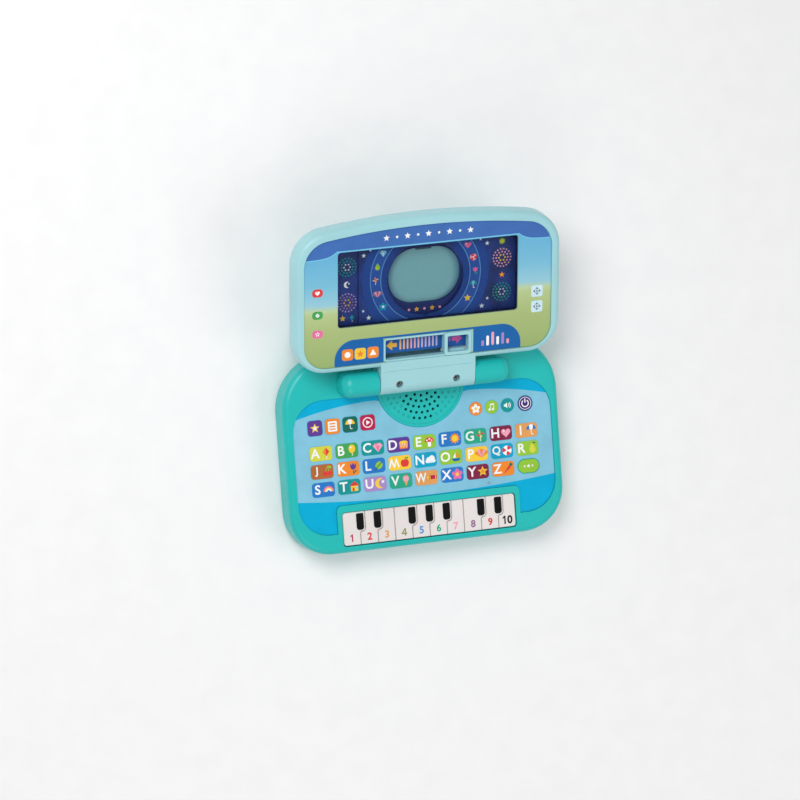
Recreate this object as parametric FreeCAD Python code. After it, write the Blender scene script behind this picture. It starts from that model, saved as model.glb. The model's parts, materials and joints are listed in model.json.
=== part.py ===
import FreeCAD
import Part
import math
import os

from FreeCAD import Rotation, Vector

# A toy laptop computer, open as a child uses it, in millimetres.
# The origin is on the table under the middle of the open toy, close to the hinge: x runs along the
# hinge, y from the piano towards the lid, z up. Base places are given as distances in front of the
# hinge axis. Lid pieces are drawn flat, with u up the lid from the hinge axis (y)
# and w out of its picture side (z), and are then turned to the open angle.

# Base casing
BASE_WIDTH = 252.0
BASE_DEPTH = 173.5
BASE_HEIGHT = 28.0
BASE_REAR_CORNER = 48.0
BASE_FRONT_CORNER = 38.0
BOTTOM_SHELL_HEIGHT = 12.0
FOOT_HEIGHT = 2.0
FOOT_RADIUS = 6.5
FOOT_SINK = 0.8
WALL = 2.2
RIM_WIDTH = 7.5
RIM_ROUND = 5.5
BOTTOM_ROUND = 5.0
LIP_WIDTH = 1.1
LIP_HEIGHT = 2.0

# Keypad panel
PANEL_STEP = 1.2
OVERLAY_THICKNESS = 0.6
MEMBRANE_THICKNESS = 0.4
PANEL_REAR = 11.6
PANEL_FRONT = 130.0
PANEL_CORNER = 28.0
PAD_RISE = 0.35
TILE_COLUMNS = 9
TILE_ROWS = 3
TILE_PITCH_X = 23.6
TILE_PITCH_Y = 15.8
TILE_WIDTH = 20.5
TILE_HEIGHT = 12.7
TILE_CORNER = 3.0
FIRST_ROW = 58.0
OVAL_WIDTH = 20.5
OVAL_HEIGHT = 13.0
ICON_COUNT = 4
SQUARE_ICON_SIZE = 13.8
SQUARE_ICON_PITCH = 16.0
SQUARE_ICON_FIRST = -98.2
SQUARE_ICON_ROW = 35.5
ROUND_ICON_RADIUS = 6.2
ROUND_ICON_PITCH = 14.7
ROUND_ICON_FIRST = 49.2
POWER_ICON_RADIUS = 7.0
POWER_ICON_X = 95.0
ROUND_ICON_ROW = 34.2

# Speaker behind its grille
GRILLE_CENTRE = 4.0
GRILLE_RADIUS = 40.5
GRILLE_RISE = 0.4
GRILLE_HOLE_RADIUS = 1.3
GRILLE_RING_FIRST = 13.0
GRILLE_RING_STEP = 5.0
GRILLE_RING_COUNT = 5
GRILLE_OPEN_MARGIN = 2.2
GRILLE_DIMPLE = 0.8
GRILLE_GROOVE_INSET = 2.0
GRILLE_GROOVE_WIDTH = 0.8
GRILLE_GROOVE_DEPTH = 0.4
GRILLE_HOLE_PITCH = 5.2
SPEAKER_CENTRE = 19.0
SPEAKER_RADIUS = 24.0
SPEAKER_FLANGE = 2.0
SPEAKER_CONE_DEPTH = 6.0
SPEAKER_MAGNET_RADIUS = 11.0
SPEAKER_MAGNET_DEPTH = 5.0
SPEAKER_RING_WIDTH = 2.4
SPEAKER_CLAMP_REACH = 2.5
SPEAKER_COIL_RADIUS = 7.0
CLAMP_THICKNESS = 1.2

# Piano
KEY_COUNT = 10
KEY_PITCH = 15.87
KEY_GAP = 0.6
KEY_LENGTH = 29.0
KEY_END_ROUND = 2.6
KEY_DROP = 0.5
KEY_SKIRT = 6.0
KEY_WALL = 1.6
KEY_EDGE = 0.6
KEY_PRESS = 3.0
KEY_SIDE_CLEAR = 0.6
KEY_END_CLEAR = 0.9
KEY_TOP_THICKNESS = 2.8
PIANO_FRAME_WIDTH = 4.0
PIANO_FRONT_LIP = 6.5
PIANO_REAR_LIP = 6.5
PIANO_FRAME_CORNER = 5.0
BLACK_KEY_AFTER = (1, 2, 4, 5, 6, 8, 9)
BLACK_KEY_WIDTH = 6.8
BLACK_KEY_LENGTH = 14.8
BLACK_KEY_RISE = 1.0
BLACK_KEY_SET_IN = 1.5
BLACK_KEY_MARGIN = 1.1
BLACK_KEY_INSET = 1.5
BLACK_KEY_EDGE = 0.8
BLACK_KEY_CORNER = 1.2
BLACK_KEY_FRONT_ROUND = 2.6
STEP_OUTER_ROUND = 3.0
STEP_INNER_ROUND = 1.6
KEY_PIVOT_SETBACK = 12.0
KEY_ROD_RADIUS = 1.5
KEY_HUB_RADIUS = 3.2
KEY_ARM_WIDTH = 7.0
KEY_ARM_THICKNESS = 2.6
KEY_BOARD_THICKNESS = 1.6
KEY_DOME_RADIUS = 4.0
KEY_DOME_HEIGHT = 3.0
KEY_PLUNGER_WIDTH = 3.0
KEY_PLUNGER_DROP = 2.5
KEY_STRIP_THICKNESS = 0.8
KEY_RIB_REACH = 11.0
ROD_BRACKET = 3.0

# Hinge
AXIS_SETBACK = 26.0
HINGE_RADIUS = 11.0
HINGE_BLOCK_WIDTH = 86.0
HINGE_GAP = 0.6
KNUCKLE_LENGTH = 33.0
KNUCKLE_ROUND = 9.0
PIN_RADIUS = 4.0
PIN_IN_BLOCK = 11.0
PIN_IN_KNUCKLE = 20.0
OPEN_ANGLE = 167.0
CLOSED_GAP = 0.6
STOP_WIDTH = 60.0
STOP_START = 4.0
STOP_END = 14.0
HINGE_SCREW_X = 26.0
HINGE_SCREW_SINK = 3.0
HINGE_SCREW_WELL = 3.3
CREASE_PLACE = 12.6
CREASE_WIDTH = 0.8
CREASE_DEPTH = 0.4
CREASE_END = 3.0

# Lid casing
LID_WIDTH = 241.0
LID_BOTTOM = 16.5
LID_TOP = 150.5
LID_ARCH = 660.0
LID_TOP_CORNER = 32.0
LID_BOTTOM_CORNER = 28.0
LID_FRONT_ROUND = 5.0
LID_BACK_ROUND = 7.0
BEZEL_WIDTH = 8.0
BEZEL_BOTTOM = 4.7
SHEET_SINK = 1.5
SHEET_THICKNESS = 0.5
LENS_THICKNESS = 1.0
LENS_OVERLAP = 3.0
FRONT_PLATE = 2.0

# Picture window and display
WINDOW_WIDTH = 163.6
WINDOW_LOW = 56.2
WINDOW_HIGH = 124.3
WINDOW_CORNER = 3.0
WINDOW_WELL_WALL = 1.4
SCENE_THICKNESS = 1.5
SCENE_HALF_WIDTH = 60.5
SCENE_MARGIN = 3.2
SCENE_CORNER = 8.0
SCENE_OPENING_MARGIN = 1.5
SCENE_RACK_TOP = 55.2
SCENE_DEPTH = 7.5
BACKING_THICKNESS = 0.8
BACKING_HALF = 112.0
BACKING_POSTS = ((106.0, 60.0), (94.0, 122.0))
DISPLAY_WIDTH = 66.0
DISPLAY_HEIGHT = 50.0
DISPLAY_CORNER = 24.0
DISPLAY_LIFT = 3.0
DISPLAY_RIM = 3.0
BACKING_OPENING_MARGIN = 1.0
DISPLAY_DEPTH = 14.0
DISPLAY_GLASS = 1.8
DISPLAY_BOARD = 1.6
DISPLAY_BOARD_WIDTH = 84.0
RAIL_WIDTH = 1.7
RAIL_LIP = 1.2
RAIL_HALF = 100.0
RAIL_LIP_THICKNESS = 0.8

# Scene slider
SLOT_LEFT = -38.7
SLOT_RIGHT = 39.5
SLOT_LOW = 22.9
SLOT_HIGH = 41.0
SLOT_CORNER = 1.5
SLOT_FRAME = 1.6
SLOT_FRAME_RISE = 0.2
SLOT_FLOOR_THICKNESS = 1.2
SLIT_HEIGHT = 3.8
KNOB_WIDTH = 24.6
KNOB_HEIGHT = 20.8
KNOB_CORNER = 2.5
KNOB_EDGE = 0.7
KNOB_WALL = 2.7
KNOB_CAP = 1.4
KNOB_SKIRT_WALL = 1.4
KNOB_STEM_WIDTH = 14.0
KNOB_STEM = 2.6
CARRIAGE_ARM = 4.2
RACK_MODULE = 1.25
RACK_PRESSURE_ANGLE = 25.0
RACK_BACKLASH = 0.35
RACK_BACK = 1.6
DEDENDUM_FACTOR = 1.25
PINION_TEETH = 12
FLANK_STEPS = 3
PINION_POST_RADIUS = 2.0
PINION_SHOULDER = 1.2

# Batteries and boards
CELL_COUNT = 3
CELL_RADIUS = 7.25
CELL_LENGTH = 49.2
CELL_NUB_RADIUS = 2.7
CELL_NUB_LENGTH = 1.3
CELL_GAP = 0.7
CONTACT_SPACE = 3.0
CONTACT_PLATE = 0.5
CONTACT_HALF = 5.0
BATTERY_FRONT = 93.5
BATTERY_WALL = 1.6
DOOR_MARGIN = 8.0
DOOR_LEDGE = 1.6
DOOR_SCREW_HEAD = 1.2
DOOR_TAB_THICKNESS = 1.0
DOOR_TAB_WIDTH = 12.0
DOOR_TAB_LENGTH = 3.0
BOARD_LENGTH = 66.0
BOARD_DEPTH = 46.0
BOARD_THICKNESS = 1.6
BOARD_LIFT = 8.0
BOARD_FROM_SIDE = 50.0
BOARD_PLACE = 70.0
CHIP_SIZE = 14.0
CHIP_HEIGHT = 2.0
CAPACITOR_COUNT = 2
CAPACITOR_RADIUS = 2.5
CAPACITOR_PITCH = 7.5
CAPACITOR_HEIGHT = 6.0

# Fasteners
POST_RADIUS = 4.0
SCREW_RADIUS = 1.4
SCREW_HEAD_RADIUS = 2.6
SCREW_HEAD_HEIGHT = 2.0
SCREW_LENGTH = 10.0
SCREW_SINK = 4.0
CASE_SCREWS = ((104.0, 2.0), (62.0, 36.0), (106.0, 118.0))
LID_SCREWS = ((100.0, 27.0), (70.0, 137.0))
FEET = ((80.0, -12.0), (96.0, 126.0))

# Clearances
SLIDE_CLEAR = 0.3
FIT_CLEAR = 0.2
RUNNING_FIT = 0.05
PRESS_CLEAR = 0.02

# Heights above the table, and the hinge axis, that follow from the sizes above
BOTTOM_Z = FOOT_HEIGHT
FLOOR_Z = BOTTOM_Z + WALL
PARTING_Z = BOTTOM_Z + BOTTOM_SHELL_HEIGHT
RIM_Z = BOTTOM_Z + BASE_HEIGHT
OVERLAY_Z = RIM_Z - PANEL_STEP
MEMBRANE_Z = OVERLAY_Z - OVERLAY_THICKNESS
DECK_Z = MEMBRANE_Z - MEMBRANE_THICKNESS
CEILING_Z = DECK_Z - WALL
LID_LEAN = math.radians(180 - OPEN_ANGLE)
FRONT_REACH = BASE_DEPTH - AXIS_SETBACK
REAR_REACH = (
    (LID_TOP - LID_BACK_ROUND) * math.cos(LID_LEAN)
    + (HINGE_RADIUS - LID_BACK_ROUND) * math.sin(LID_LEAN)
    + LID_BACK_ROUND
)
AXIS_Y = (FRONT_REACH - REAR_REACH) / 2
FRONT_Y = AXIS_Y - FRONT_REACH
REAR_Y = AXIS_Y + AXIS_SETBACK
AXIS_Z = RIM_Z + CLOSED_GAP + HINGE_RADIUS
LIP_INSET = WALL + FIT_CLEAR
TRAY_WALL = LIP_INSET + LIP_WIDTH
CASE_SCREW_SEAT_Z = BOTTOM_Z + SCREW_SINK + SCREW_HEAD_HEIGHT
SAME = 1e-4


def from_axis(distance):
    """The y of a place that lies this far in front of the hinge axis."""
    return AXIS_Y - distance


# Piano places that several pieces share
KEY_FRONT = FRONT_REACH - PIANO_FRONT_LIP
KEY_REAR = KEY_FRONT - KEY_LENGTH
KEY_PIVOT = KEY_REAR - KEY_PIVOT_SETBACK
PIANO_FRAME_REAR = KEY_REAR - PIANO_REAR_LIP
PIANO_HALF = KEY_COUNT * KEY_PITCH / 2 + KEY_SIDE_CLEAR
PIANO_FRAME_HALF = PIANO_HALF + PIANO_FRAME_WIDTH
KEY_RIB_HALF = PIANO_HALF - KEY_PLUNGER_WIDTH
KEY_TOP_Z = RIM_Z - KEY_DROP
KEY_PIVOT_Y = from_axis(KEY_PIVOT)
KEY_PIVOT_Z = CEILING_Z - SLIDE_CLEAR - KEY_HUB_RADIUS
KEY_PRESS_ANGLE = KEY_PRESS / (KEY_FRONT - KEY_PIVOT)
KEY_PLUNGER = (KEY_REAR + KEY_FRONT) / 2
KEY_PLUNGER_Z = KEY_TOP_Z - KEY_SKIRT - KEY_PLUNGER_DROP
KEY_DOME_TOP_Z = KEY_PLUNGER_Z - KEY_PRESS_ANGLE * (KEY_PLUNGER - KEY_PIVOT) - 2 * SLIDE_CLEAR
KEY_BOARD_TOP_Z = KEY_DOME_TOP_Z - KEY_DOME_HEIGHT - KEY_STRIP_THICKNESS

# Battery pocket places
DOOR_TOP_Z = FLOOR_Z
CELL_PITCH = 2 * CELL_RADIUS + CELL_GAP
CELL_Z = DOOR_TOP_Z + SLIDE_CLEAR + CELL_RADIUS
POCKET_HALF = (CELL_LENGTH + CELL_NUB_LENGTH) / 2 + CONTACT_SPACE
POCKET_DEPTH = CELL_COUNT * CELL_PITCH + CELL_GAP
POCKET_REAR = BATTERY_FRONT - POCKET_DEPTH
POCKET_TOP_Z = CELL_Z + CELL_RADIUS + SLIDE_CLEAR
DOOR_SCREW_PLACE = BATTERY_FRONT + BATTERY_WALL + SCREW_HEAD_RADIUS
BOARD_X = BASE_WIDTH / 2 - BOARD_FROM_SIDE
BOARD_Y = from_axis(BOARD_PLACE)


def box(x0, x1, y0, y1, z0, z1):
    return Part.makeBox(x1 - x0, y1 - y0, z1 - z0, Vector(x0, y0, z0))


def column(radius, x, y, z0, z1):
    return Part.makeCylinder(radius, z1 - z0, Vector(x, y, z0))


def bar(radius, x0, x1, y, z):
    return Part.makeCylinder(radius, x1 - x0, Vector(x0, y, z), Vector(1, 0, 0))


def fuse(shapes):
    return shapes[0].multiFuse(shapes[1:]).removeSplitter()


def arc(x, y, radius, start, end):
    """Circular arc in the ground plane, anticlockwise between two angles in degrees."""
    points = []
    for angle in (start, (start + end) / 2, end):
        turn = math.radians(angle)
        points.append(Vector(x + radius * math.cos(turn), y + radius * math.sin(turn), 0))
    return Part.Arc(*points).toShape()


def join_arcs(arcs):
    """Closed wire of arcs in order, with straight runs where two of them don't meet."""
    edges = []
    for current, following in zip(arcs, arcs[1:] + arcs[:1]):
        edges.append(current)
        start = current.valueAt(current.LastParameter)
        end = following.valueAt(following.FirstParameter)
        if start.distanceToPoint(end) > SAME:
            edges.append(Part.makeLine(start, end))
    return Part.Wire(edges)


def rounded_rectangle(x0, x1, y0, y1, low_radius, high_radius=None):
    """Closed outline with one corner radius along its low y edge and one along its high y edge."""
    high = low_radius if high_radius is None else high_radius
    return join_arcs([
        arc(x0 + low_radius, y0 + low_radius, low_radius, 180, 270),
        arc(x1 - low_radius, y0 + low_radius, low_radius, 270, 360),
        arc(x1 - high, y1 - high, high, 0, 90),
        arc(x0 + high, y1 - high, high, 90, 180),
    ])


def rounded_polygon(corners):
    """Closed outline of square corners, each given as x, y and the radius that rounds it."""
    places = [Vector(x, y, 0) for x, y, radius in corners]
    places.append(places[0])
    bends = []
    for index, (x, y, radius) in enumerate(corners):
        place = places[index]
        before = places[index - 1] if index else places[-2]
        back = (before - place).normalize() * radius
        onward = (places[index + 1] - place).normalize() * radius
        middle = place + (back + onward) * (1 - math.sqrt(0.5))
        bends.append((place + back, middle, place + onward))
    edges = []
    for bend, following in zip(bends, bends[1:] + bends[:1]):
        if bend[0].distanceToPoint(bend[2]) > SAME:
            edges.append(Part.Arc(*bend).toShape())
        if bend[2].distanceToPoint(following[0]) > SAME:
            edges.append(Part.makeLine(bend[2], following[0]))
    return Part.Wire(edges)


def prism(wire, z0, z1):
    face = Part.Face(wire)
    face.translate(Vector(0, 0, z0))
    return face.extrude(Vector(0, 0, z1 - z0))


def edges_at(shape, z):
    """Edges that lie wholly at one height."""
    found = []
    for edge in shape.Edges:
        bounds = edge.BoundBox
        if abs(bounds.ZMin - z) < SAME and abs(bounds.ZMax - z) < SAME:
            found.append(edge)
    return found


def both_sides(places):
    """Places given on the right half, with their mirror images on the left."""
    return [(side * x, y) for x, y in places for side in (1, -1)]


def base_outline(inset):
    half = BASE_WIDTH / 2 - inset
    front = BASE_FRONT_CORNER - inset
    rear = BASE_REAR_CORNER - inset
    return rounded_rectangle(-half, half, FRONT_Y + inset, REAR_Y - inset, front, rear)


def panel_space(inset, z0, z1):
    """Plan of the keypad panel: it goes round the piano surround and the half round grille."""
    half = BASE_WIDTH / 2 - RIM_WIDTH - inset
    front = from_axis(PANEL_FRONT) + inset
    rear = from_axis(PANEL_REAR) - inset
    space = prism(rounded_rectangle(-half, half, front, rear, PANEL_CORNER - inset), z0, z1)
    surround_half = PIANO_FRAME_HALF + inset
    surround_rear = from_axis(PIANO_FRAME_REAR) + inset
    surround = rounded_rectangle(
        -surround_half, surround_half, FRONT_Y - WALL, surround_rear, PIANO_FRAME_CORNER + inset
    )
    grille = column(GRILLE_RADIUS + inset, 0, from_axis(GRILLE_CENTRE), z0, z1)
    return space.cut(prism(surround, z0, z1)).cut(grille)


def grille_holes():
    """Rings of round holes: those over the speaker's cone go through, the others are dimples."""
    holes = []
    cone = SPEAKER_RADIUS - SPEAKER_CLAMP_REACH - GRILLE_OPEN_MARGIN
    dimple_z = OVERLAY_Z + GRILLE_RISE - GRILLE_DIMPLE
    nearest = PANEL_REAR - GRILLE_CENTRE + 2 * GRILLE_HOLE_RADIUS
    for ring in range(GRILLE_RING_COUNT):
        radius = GRILLE_RING_FIRST + ring * GRILLE_RING_STEP
        reach = math.acos(nearest / radius)
        count = round(2 * reach * radius / GRILLE_HOLE_PITCH)
        for index in range(count):
            angle = reach * ((2 * index + 1) / count - 1)
            x = radius * math.sin(angle)
            y = from_axis(GRILLE_CENTRE + radius * math.cos(angle))
            open_hole = math.hypot(x, y - from_axis(SPEAKER_CENTRE)) < cone
            bottom = CEILING_Z - WALL if open_hole else dimple_z
            holes.append(column(GRILLE_HOLE_RADIUS, x, y, bottom, RIM_Z))
    return holes


def grille_groove():
    """Fine line that follows the half round edge of the grille just inside it."""
    outer = GRILLE_RADIUS - GRILLE_GROOVE_INSET
    y = from_axis(GRILLE_CENTRE)
    low = OVERLAY_Z + GRILLE_RISE - GRILLE_GROOVE_DEPTH
    ring = column(outer, 0, y, low, RIM_Z).cut(column(outer - GRILLE_GROOVE_WIDTH, 0, y, low, RIM_Z))
    rear = from_axis(PANEL_REAR + GRILLE_GROOVE_INSET)
    return ring.common(box(-outer, outer, y - outer, rear, low, RIM_Z))


def knuckle(side):
    """Barrel that stands on the base beside the lid's hinge block, rounded at its outer end."""
    inner = HINGE_BLOCK_WIDTH / 2 + HINGE_GAP
    crown = arc(AXIS_Y, AXIS_Z, HINGE_RADIUS, 0, 180)
    foot_z = DECK_Z
    corners = [
        crown.valueAt(crown.LastParameter),
        Vector(AXIS_Y - HINGE_RADIUS, foot_z, 0),
        Vector(AXIS_Y + HINGE_RADIUS, foot_z, 0),
        crown.valueAt(crown.FirstParameter),
    ]
    profile = Part.Wire([crown] + Part.makePolygon(corners).Edges)
    body = prism(profile, 0, KNUCKLE_LENGTH)
    outer_end = [edge for edge in edges_at(body, KNUCKLE_LENGTH) if edge.BoundBox.YMax > foot_z + SAME]
    body = body.makeFillet(KNUCKLE_ROUND, outer_end)
    bore = Part.makeCylinder(PIN_RADIUS + PRESS_CLEAR, PIN_IN_KNUCKLE, Vector(AXIS_Y, AXIS_Z, 0))
    body = body.cut(bore)
    # Drawn in the ground plane, the profile is stood up so that its height runs along z
    body.Placement = FreeCAD.Placement(Vector(inner, 0, 0), Rotation(Vector(1, 1, 1), 120))
    return body if side > 0 else body.mirror(Vector(0, 0, 0), Vector(1, 0, 0))


def stop_ledge():
    """Low ramp behind the hinge on which the open lid's hinge block comes to rest."""
    drop = HINGE_RADIUS + SLIDE_CLEAR
    points = [Vector(-STOP_WIDTH / 2, from_axis(-STOP_END), DECK_Z)]
    points.append(Vector(-STOP_WIDTH / 2, from_axis(-STOP_START), DECK_Z))
    for reach in (STOP_START, STOP_END):
        y = AXIS_Y + reach * math.cos(LID_LEAN) + drop * math.sin(LID_LEAN)
        z = AXIS_Z + reach * math.sin(LID_LEAN) - drop * math.cos(LID_LEAN)
        points.append(Vector(-STOP_WIDTH / 2, y, z))
    face = Part.Face(Part.makePolygon(points + points[:1]))
    return face.extrude(Vector(STOP_WIDTH, 0, 0))


def rod_brackets():
    """Ribs under the deck that hold the two ends of the piano's pivot rod."""
    ribs = []
    for side in (1, -1):
        x = side * (PIANO_HALF + ROD_BRACKET / 2)
        rib = box(
            x - ROD_BRACKET / 2, x + ROD_BRACKET / 2,
            KEY_PIVOT_Y - KEY_HUB_RADIUS, KEY_PIVOT_Y + KEY_HUB_RADIUS,
            KEY_PIVOT_Z - KEY_HUB_RADIUS, CEILING_Z,
        )
        bore = KEY_ROD_RADIUS + PRESS_CLEAR
        ribs.append(rib.cut(bar(bore, x - ROD_BRACKET, x + ROD_BRACKET, KEY_PIVOT_Y, KEY_PIVOT_Z)))
    return ribs


def base_top_cover():
    shell = prism(base_outline(0), PARTING_Z, RIM_Z)
    shell = shell.makeFillet(RIM_ROUND, edges_at(shell, RIM_Z))
    shell = shell.cut(prism(base_outline(WALL), PARTING_Z, CEILING_Z))
    shell = shell.cut(panel_space(0, DECK_Z, RIM_Z))
    grille_top = column(
        GRILLE_RADIUS, 0, from_axis(GRILLE_CENTRE), OVERLAY_Z + GRILLE_RISE, RIM_Z
    )
    behind_panel = box(
        -GRILLE_RADIUS, GRILLE_RADIUS, from_axis(PANEL_REAR), from_axis(GRILLE_CENTRE - GRILLE_RADIUS),
        DECK_Z, RIM_Z,
    )
    shell = shell.cut(grille_top.cut(behind_panel))
    key_bed = rounded_rectangle(
        -PIANO_HALF, PIANO_HALF, from_axis(KEY_FRONT + KEY_END_CLEAR), from_axis(KEY_REAR - KEY_GAP),
        KEY_END_ROUND + KEY_GAP,
    )
    shell = shell.cut(prism(key_bed, PARTING_Z, RIM_Z))
    additions = [knuckle(1), knuckle(-1), stop_ledge()] + rod_brackets()
    for x, place in both_sides(CASE_SCREWS):
        additions.append(column(POST_RADIUS, x, from_axis(place), PARTING_Z, CEILING_Z))
    ring_low = CEILING_Z - SPEAKER_FLANGE - CLAMP_THICKNESS
    speaker_y = from_axis(SPEAKER_CENTRE)
    ring = column(SPEAKER_RADIUS + FIT_CLEAR + SPEAKER_RING_WIDTH, 0, speaker_y, ring_low, CEILING_Z)
    additions.append(ring.cut(column(SPEAKER_RADIUS + FIT_CLEAR, 0, speaker_y, ring_low, CEILING_Z)))
    shell = fuse([shell] + additions)
    tip_z = CASE_SCREW_SEAT_Z + SCREW_LENGTH + SLIDE_CLEAR
    pilots = []
    for x, place in both_sides(CASE_SCREWS):
        pilots.append(column(SCREW_RADIUS + PRESS_CLEAR, x, from_axis(place), PARTING_Z, tip_z))
    return shell.cut(Part.makeCompound(grille_holes() + pilots)).cut(grille_groove())


def battery_pocket(grow, z0, z1):
    """Plan of the battery pocket, grown by a wall or a door margin, between two heights."""
    return box(
        -POCKET_HALF - grow, POCKET_HALF + grow,
        from_axis(BATTERY_FRONT + grow), from_axis(POCKET_REAR - grow), z0, z1,
    )


def door_tabs(grow):
    """Two tabs on the battery door's rear edge, or with some growth the slots that take them."""
    rear = from_axis(POCKET_REAR - DOOR_MARGIN)
    tabs = []
    for side in (1, -1):
        x = side * POCKET_HALF / 2
        half = DOOR_TAB_WIDTH / 2 + grow
        tabs.append(box(
            x - half, x + half, rear - DOOR_TAB_LENGTH, rear + DOOR_TAB_LENGTH + grow,
            FLOOR_Z - DOOR_TAB_THICKNESS - grow, FLOOR_Z,
        ))
    return tabs


def base_bottom_cover():
    tray = prism(base_outline(0), BOTTOM_Z, PARTING_Z)
    tray = tray.makeFillet(BOTTOM_ROUND, edges_at(tray, BOTTOM_Z))
    lip = prism(base_outline(LIP_INSET), PARTING_Z, PARTING_Z + LIP_HEIGHT)
    tray = tray.fuse(lip).cut(prism(base_outline(TRAY_WALL), FLOOR_Z, PARTING_Z + LIP_HEIGHT))
    additions = [battery_pocket(DOOR_MARGIN + BATTERY_WALL, FLOOR_Z, FLOOR_Z + DOOR_LEDGE)]
    additions.append(battery_pocket(BATTERY_WALL, FLOOR_Z, POCKET_TOP_Z + BATTERY_WALL))
    door_post_top = BOTTOM_Z + DOOR_SCREW_HEAD + SCREW_LENGTH + BATTERY_WALL
    additions.append(column(POST_RADIUS, 0, from_axis(DOOR_SCREW_PLACE), FLOOR_Z, door_post_top))
    for x, place in both_sides(CASE_SCREWS):
        additions.append(column(POST_RADIUS, x, from_axis(place), FLOOR_Z, PARTING_Z))
    for x in (BOARD_X - BOARD_LENGTH / 2, BOARD_X + BOARD_LENGTH / 2):
        for y in (BOARD_Y - BOARD_DEPTH / 2, BOARD_Y + BOARD_DEPTH / 2):
            post_x = x + math.copysign(POST_RADIUS, BOARD_X - x)
            post_y = y + math.copysign(POST_RADIUS, BOARD_Y - y)
            additions.append(column(POST_RADIUS, post_x, post_y, FLOOR_Z, FLOOR_Z + BOARD_LIFT))
    for place in (KEY_PLUNGER - KEY_RIB_REACH, KEY_PLUNGER + KEY_RIB_REACH):
        y = from_axis(place)
        top = KEY_BOARD_TOP_Z - KEY_BOARD_THICKNESS
        additions.append(box(-KEY_RIB_HALF, KEY_RIB_HALF, y - WALL / 2, y + WALL / 2, FLOOR_Z, top))
    tray = fuse([tray] + additions)
    cuts = [battery_pocket(DOOR_MARGIN, BOTTOM_Z, FLOOR_Z), battery_pocket(0, FLOOR_Z, POCKET_TOP_Z)]
    cuts += door_tabs(FIT_CLEAR)
    screw_tip = BOTTOM_Z + DOOR_SCREW_HEAD + SCREW_LENGTH
    cuts.append(column(SCREW_RADIUS + PRESS_CLEAR, 0, from_axis(DOOR_SCREW_PLACE), FLOOR_Z, screw_tip))
    for x, place in both_sides(CASE_SCREWS):
        y = from_axis(place)
        cuts.append(column(SCREW_HEAD_RADIUS + FIT_CLEAR, x, y, BOTTOM_Z, CASE_SCREW_SEAT_Z))
        cuts.append(column(SCREW_RADIUS + FIT_CLEAR, x, y, BOTTOM_Z, PARTING_Z))
    for x, place in both_sides(FEET):
        cuts.append(column(FOOT_RADIUS + PRESS_CLEAR, x, from_axis(place), BOTTOM_Z, BOTTOM_Z + FOOT_SINK))
    for cutter in cuts:
        tray = tray.cut(cutter)
    return tray


def rubber_feet():
    feet = []
    for x, place in both_sides(FEET):
        foot = column(FOOT_RADIUS, x, from_axis(place), 0, BOTTOM_Z + FOOT_SINK)
        feet.append(foot.makeChamfer(FOOT_SINK, edges_at(foot, 0)))
    return Part.makeCompound(feet)


def screw(x, y, seat_z, head_height, length, up):
    """Screw whose head bears on a seat, with its shank pointing up or down from there."""
    head_far = seat_z - up * head_height
    tip = seat_z + up * length
    head = column(SCREW_HEAD_RADIUS, x, y, min(seat_z, head_far), max(seat_z, head_far))
    shank = column(SCREW_RADIUS, x, y, min(seat_z, tip), max(seat_z, tip))
    return head.fuse(shank)


def base_screws():
    screws = []
    for x, place in both_sides(CASE_SCREWS):
        screws.append(screw(x, from_axis(place), CASE_SCREW_SEAT_Z, SCREW_HEAD_HEIGHT, SCREW_LENGTH, 1))
    return Part.makeCompound(screws)


def battery_door():
    door = battery_pocket(DOOR_MARGIN - FIT_CLEAR, BOTTOM_Z, FLOOR_Z)
    door = fuse([door] + door_tabs(0))
    y = from_axis(DOOR_SCREW_PLACE)
    door = door.cut(column(SCREW_HEAD_RADIUS + FIT_CLEAR, 0, y, BOTTOM_Z, BOTTOM_Z + DOOR_SCREW_HEAD))
    return door.cut(column(SCREW_RADIUS + FIT_CLEAR, 0, y, BOTTOM_Z, FLOOR_Z))


def battery_door_screw():
    y = from_axis(DOOR_SCREW_PLACE)
    length = SCREW_LENGTH - SLIDE_CLEAR
    return screw(0, y, BOTTOM_Z + DOOR_SCREW_HEAD, DOOR_SCREW_HEAD, length, 1)


def cell_places():
    """The y of each cell and the direction its raised end points in, which alternates."""
    first = POCKET_REAR + CELL_GAP + CELL_RADIUS
    return [(from_axis(first + index * CELL_PITCH), 1 - 2 * (index % 2)) for index in range(CELL_COUNT)]


def battery_cells():
    cells = []
    half = (CELL_LENGTH + CELL_NUB_LENGTH) / 2
    for y, towards in cell_places():
        body = bar(CELL_RADIUS, -half, half - CELL_NUB_LENGTH, y, CELL_Z)
        nub = bar(CELL_NUB_RADIUS, half - CELL_NUB_LENGTH, half, y, CELL_Z)
        cell = body.fuse(nub)
        if towards < 0:
            cell = cell.mirror(Vector(0, 0, 0), Vector(1, 0, 0))
        cells.append(cell)
    return Part.makeCompound(cells)


def battery_contacts():
    """Sprung plates on the pocket's end walls, one to each end of each cell."""
    contacts = []
    tip = (CELL_LENGTH + CELL_NUB_LENGTH) / 2 + SLIDE_CLEAR
    plate_in = POCKET_HALF - CONTACT_PLATE
    half = CONTACT_HALF
    for y, _ in cell_places():
        for side in (1, -1):
            low, high = sorted((side * plate_in, side * POCKET_HALF))
            plate = box(low, high, y - half, y + half, CELL_Z - half, CELL_Z + half)
            low, high = sorted((side * tip, side * plate_in))
            contacts.append(plate.fuse(bar(CELL_NUB_RADIUS, low, high, y, CELL_Z)))
    return Part.makeCompound(contacts)


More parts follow.
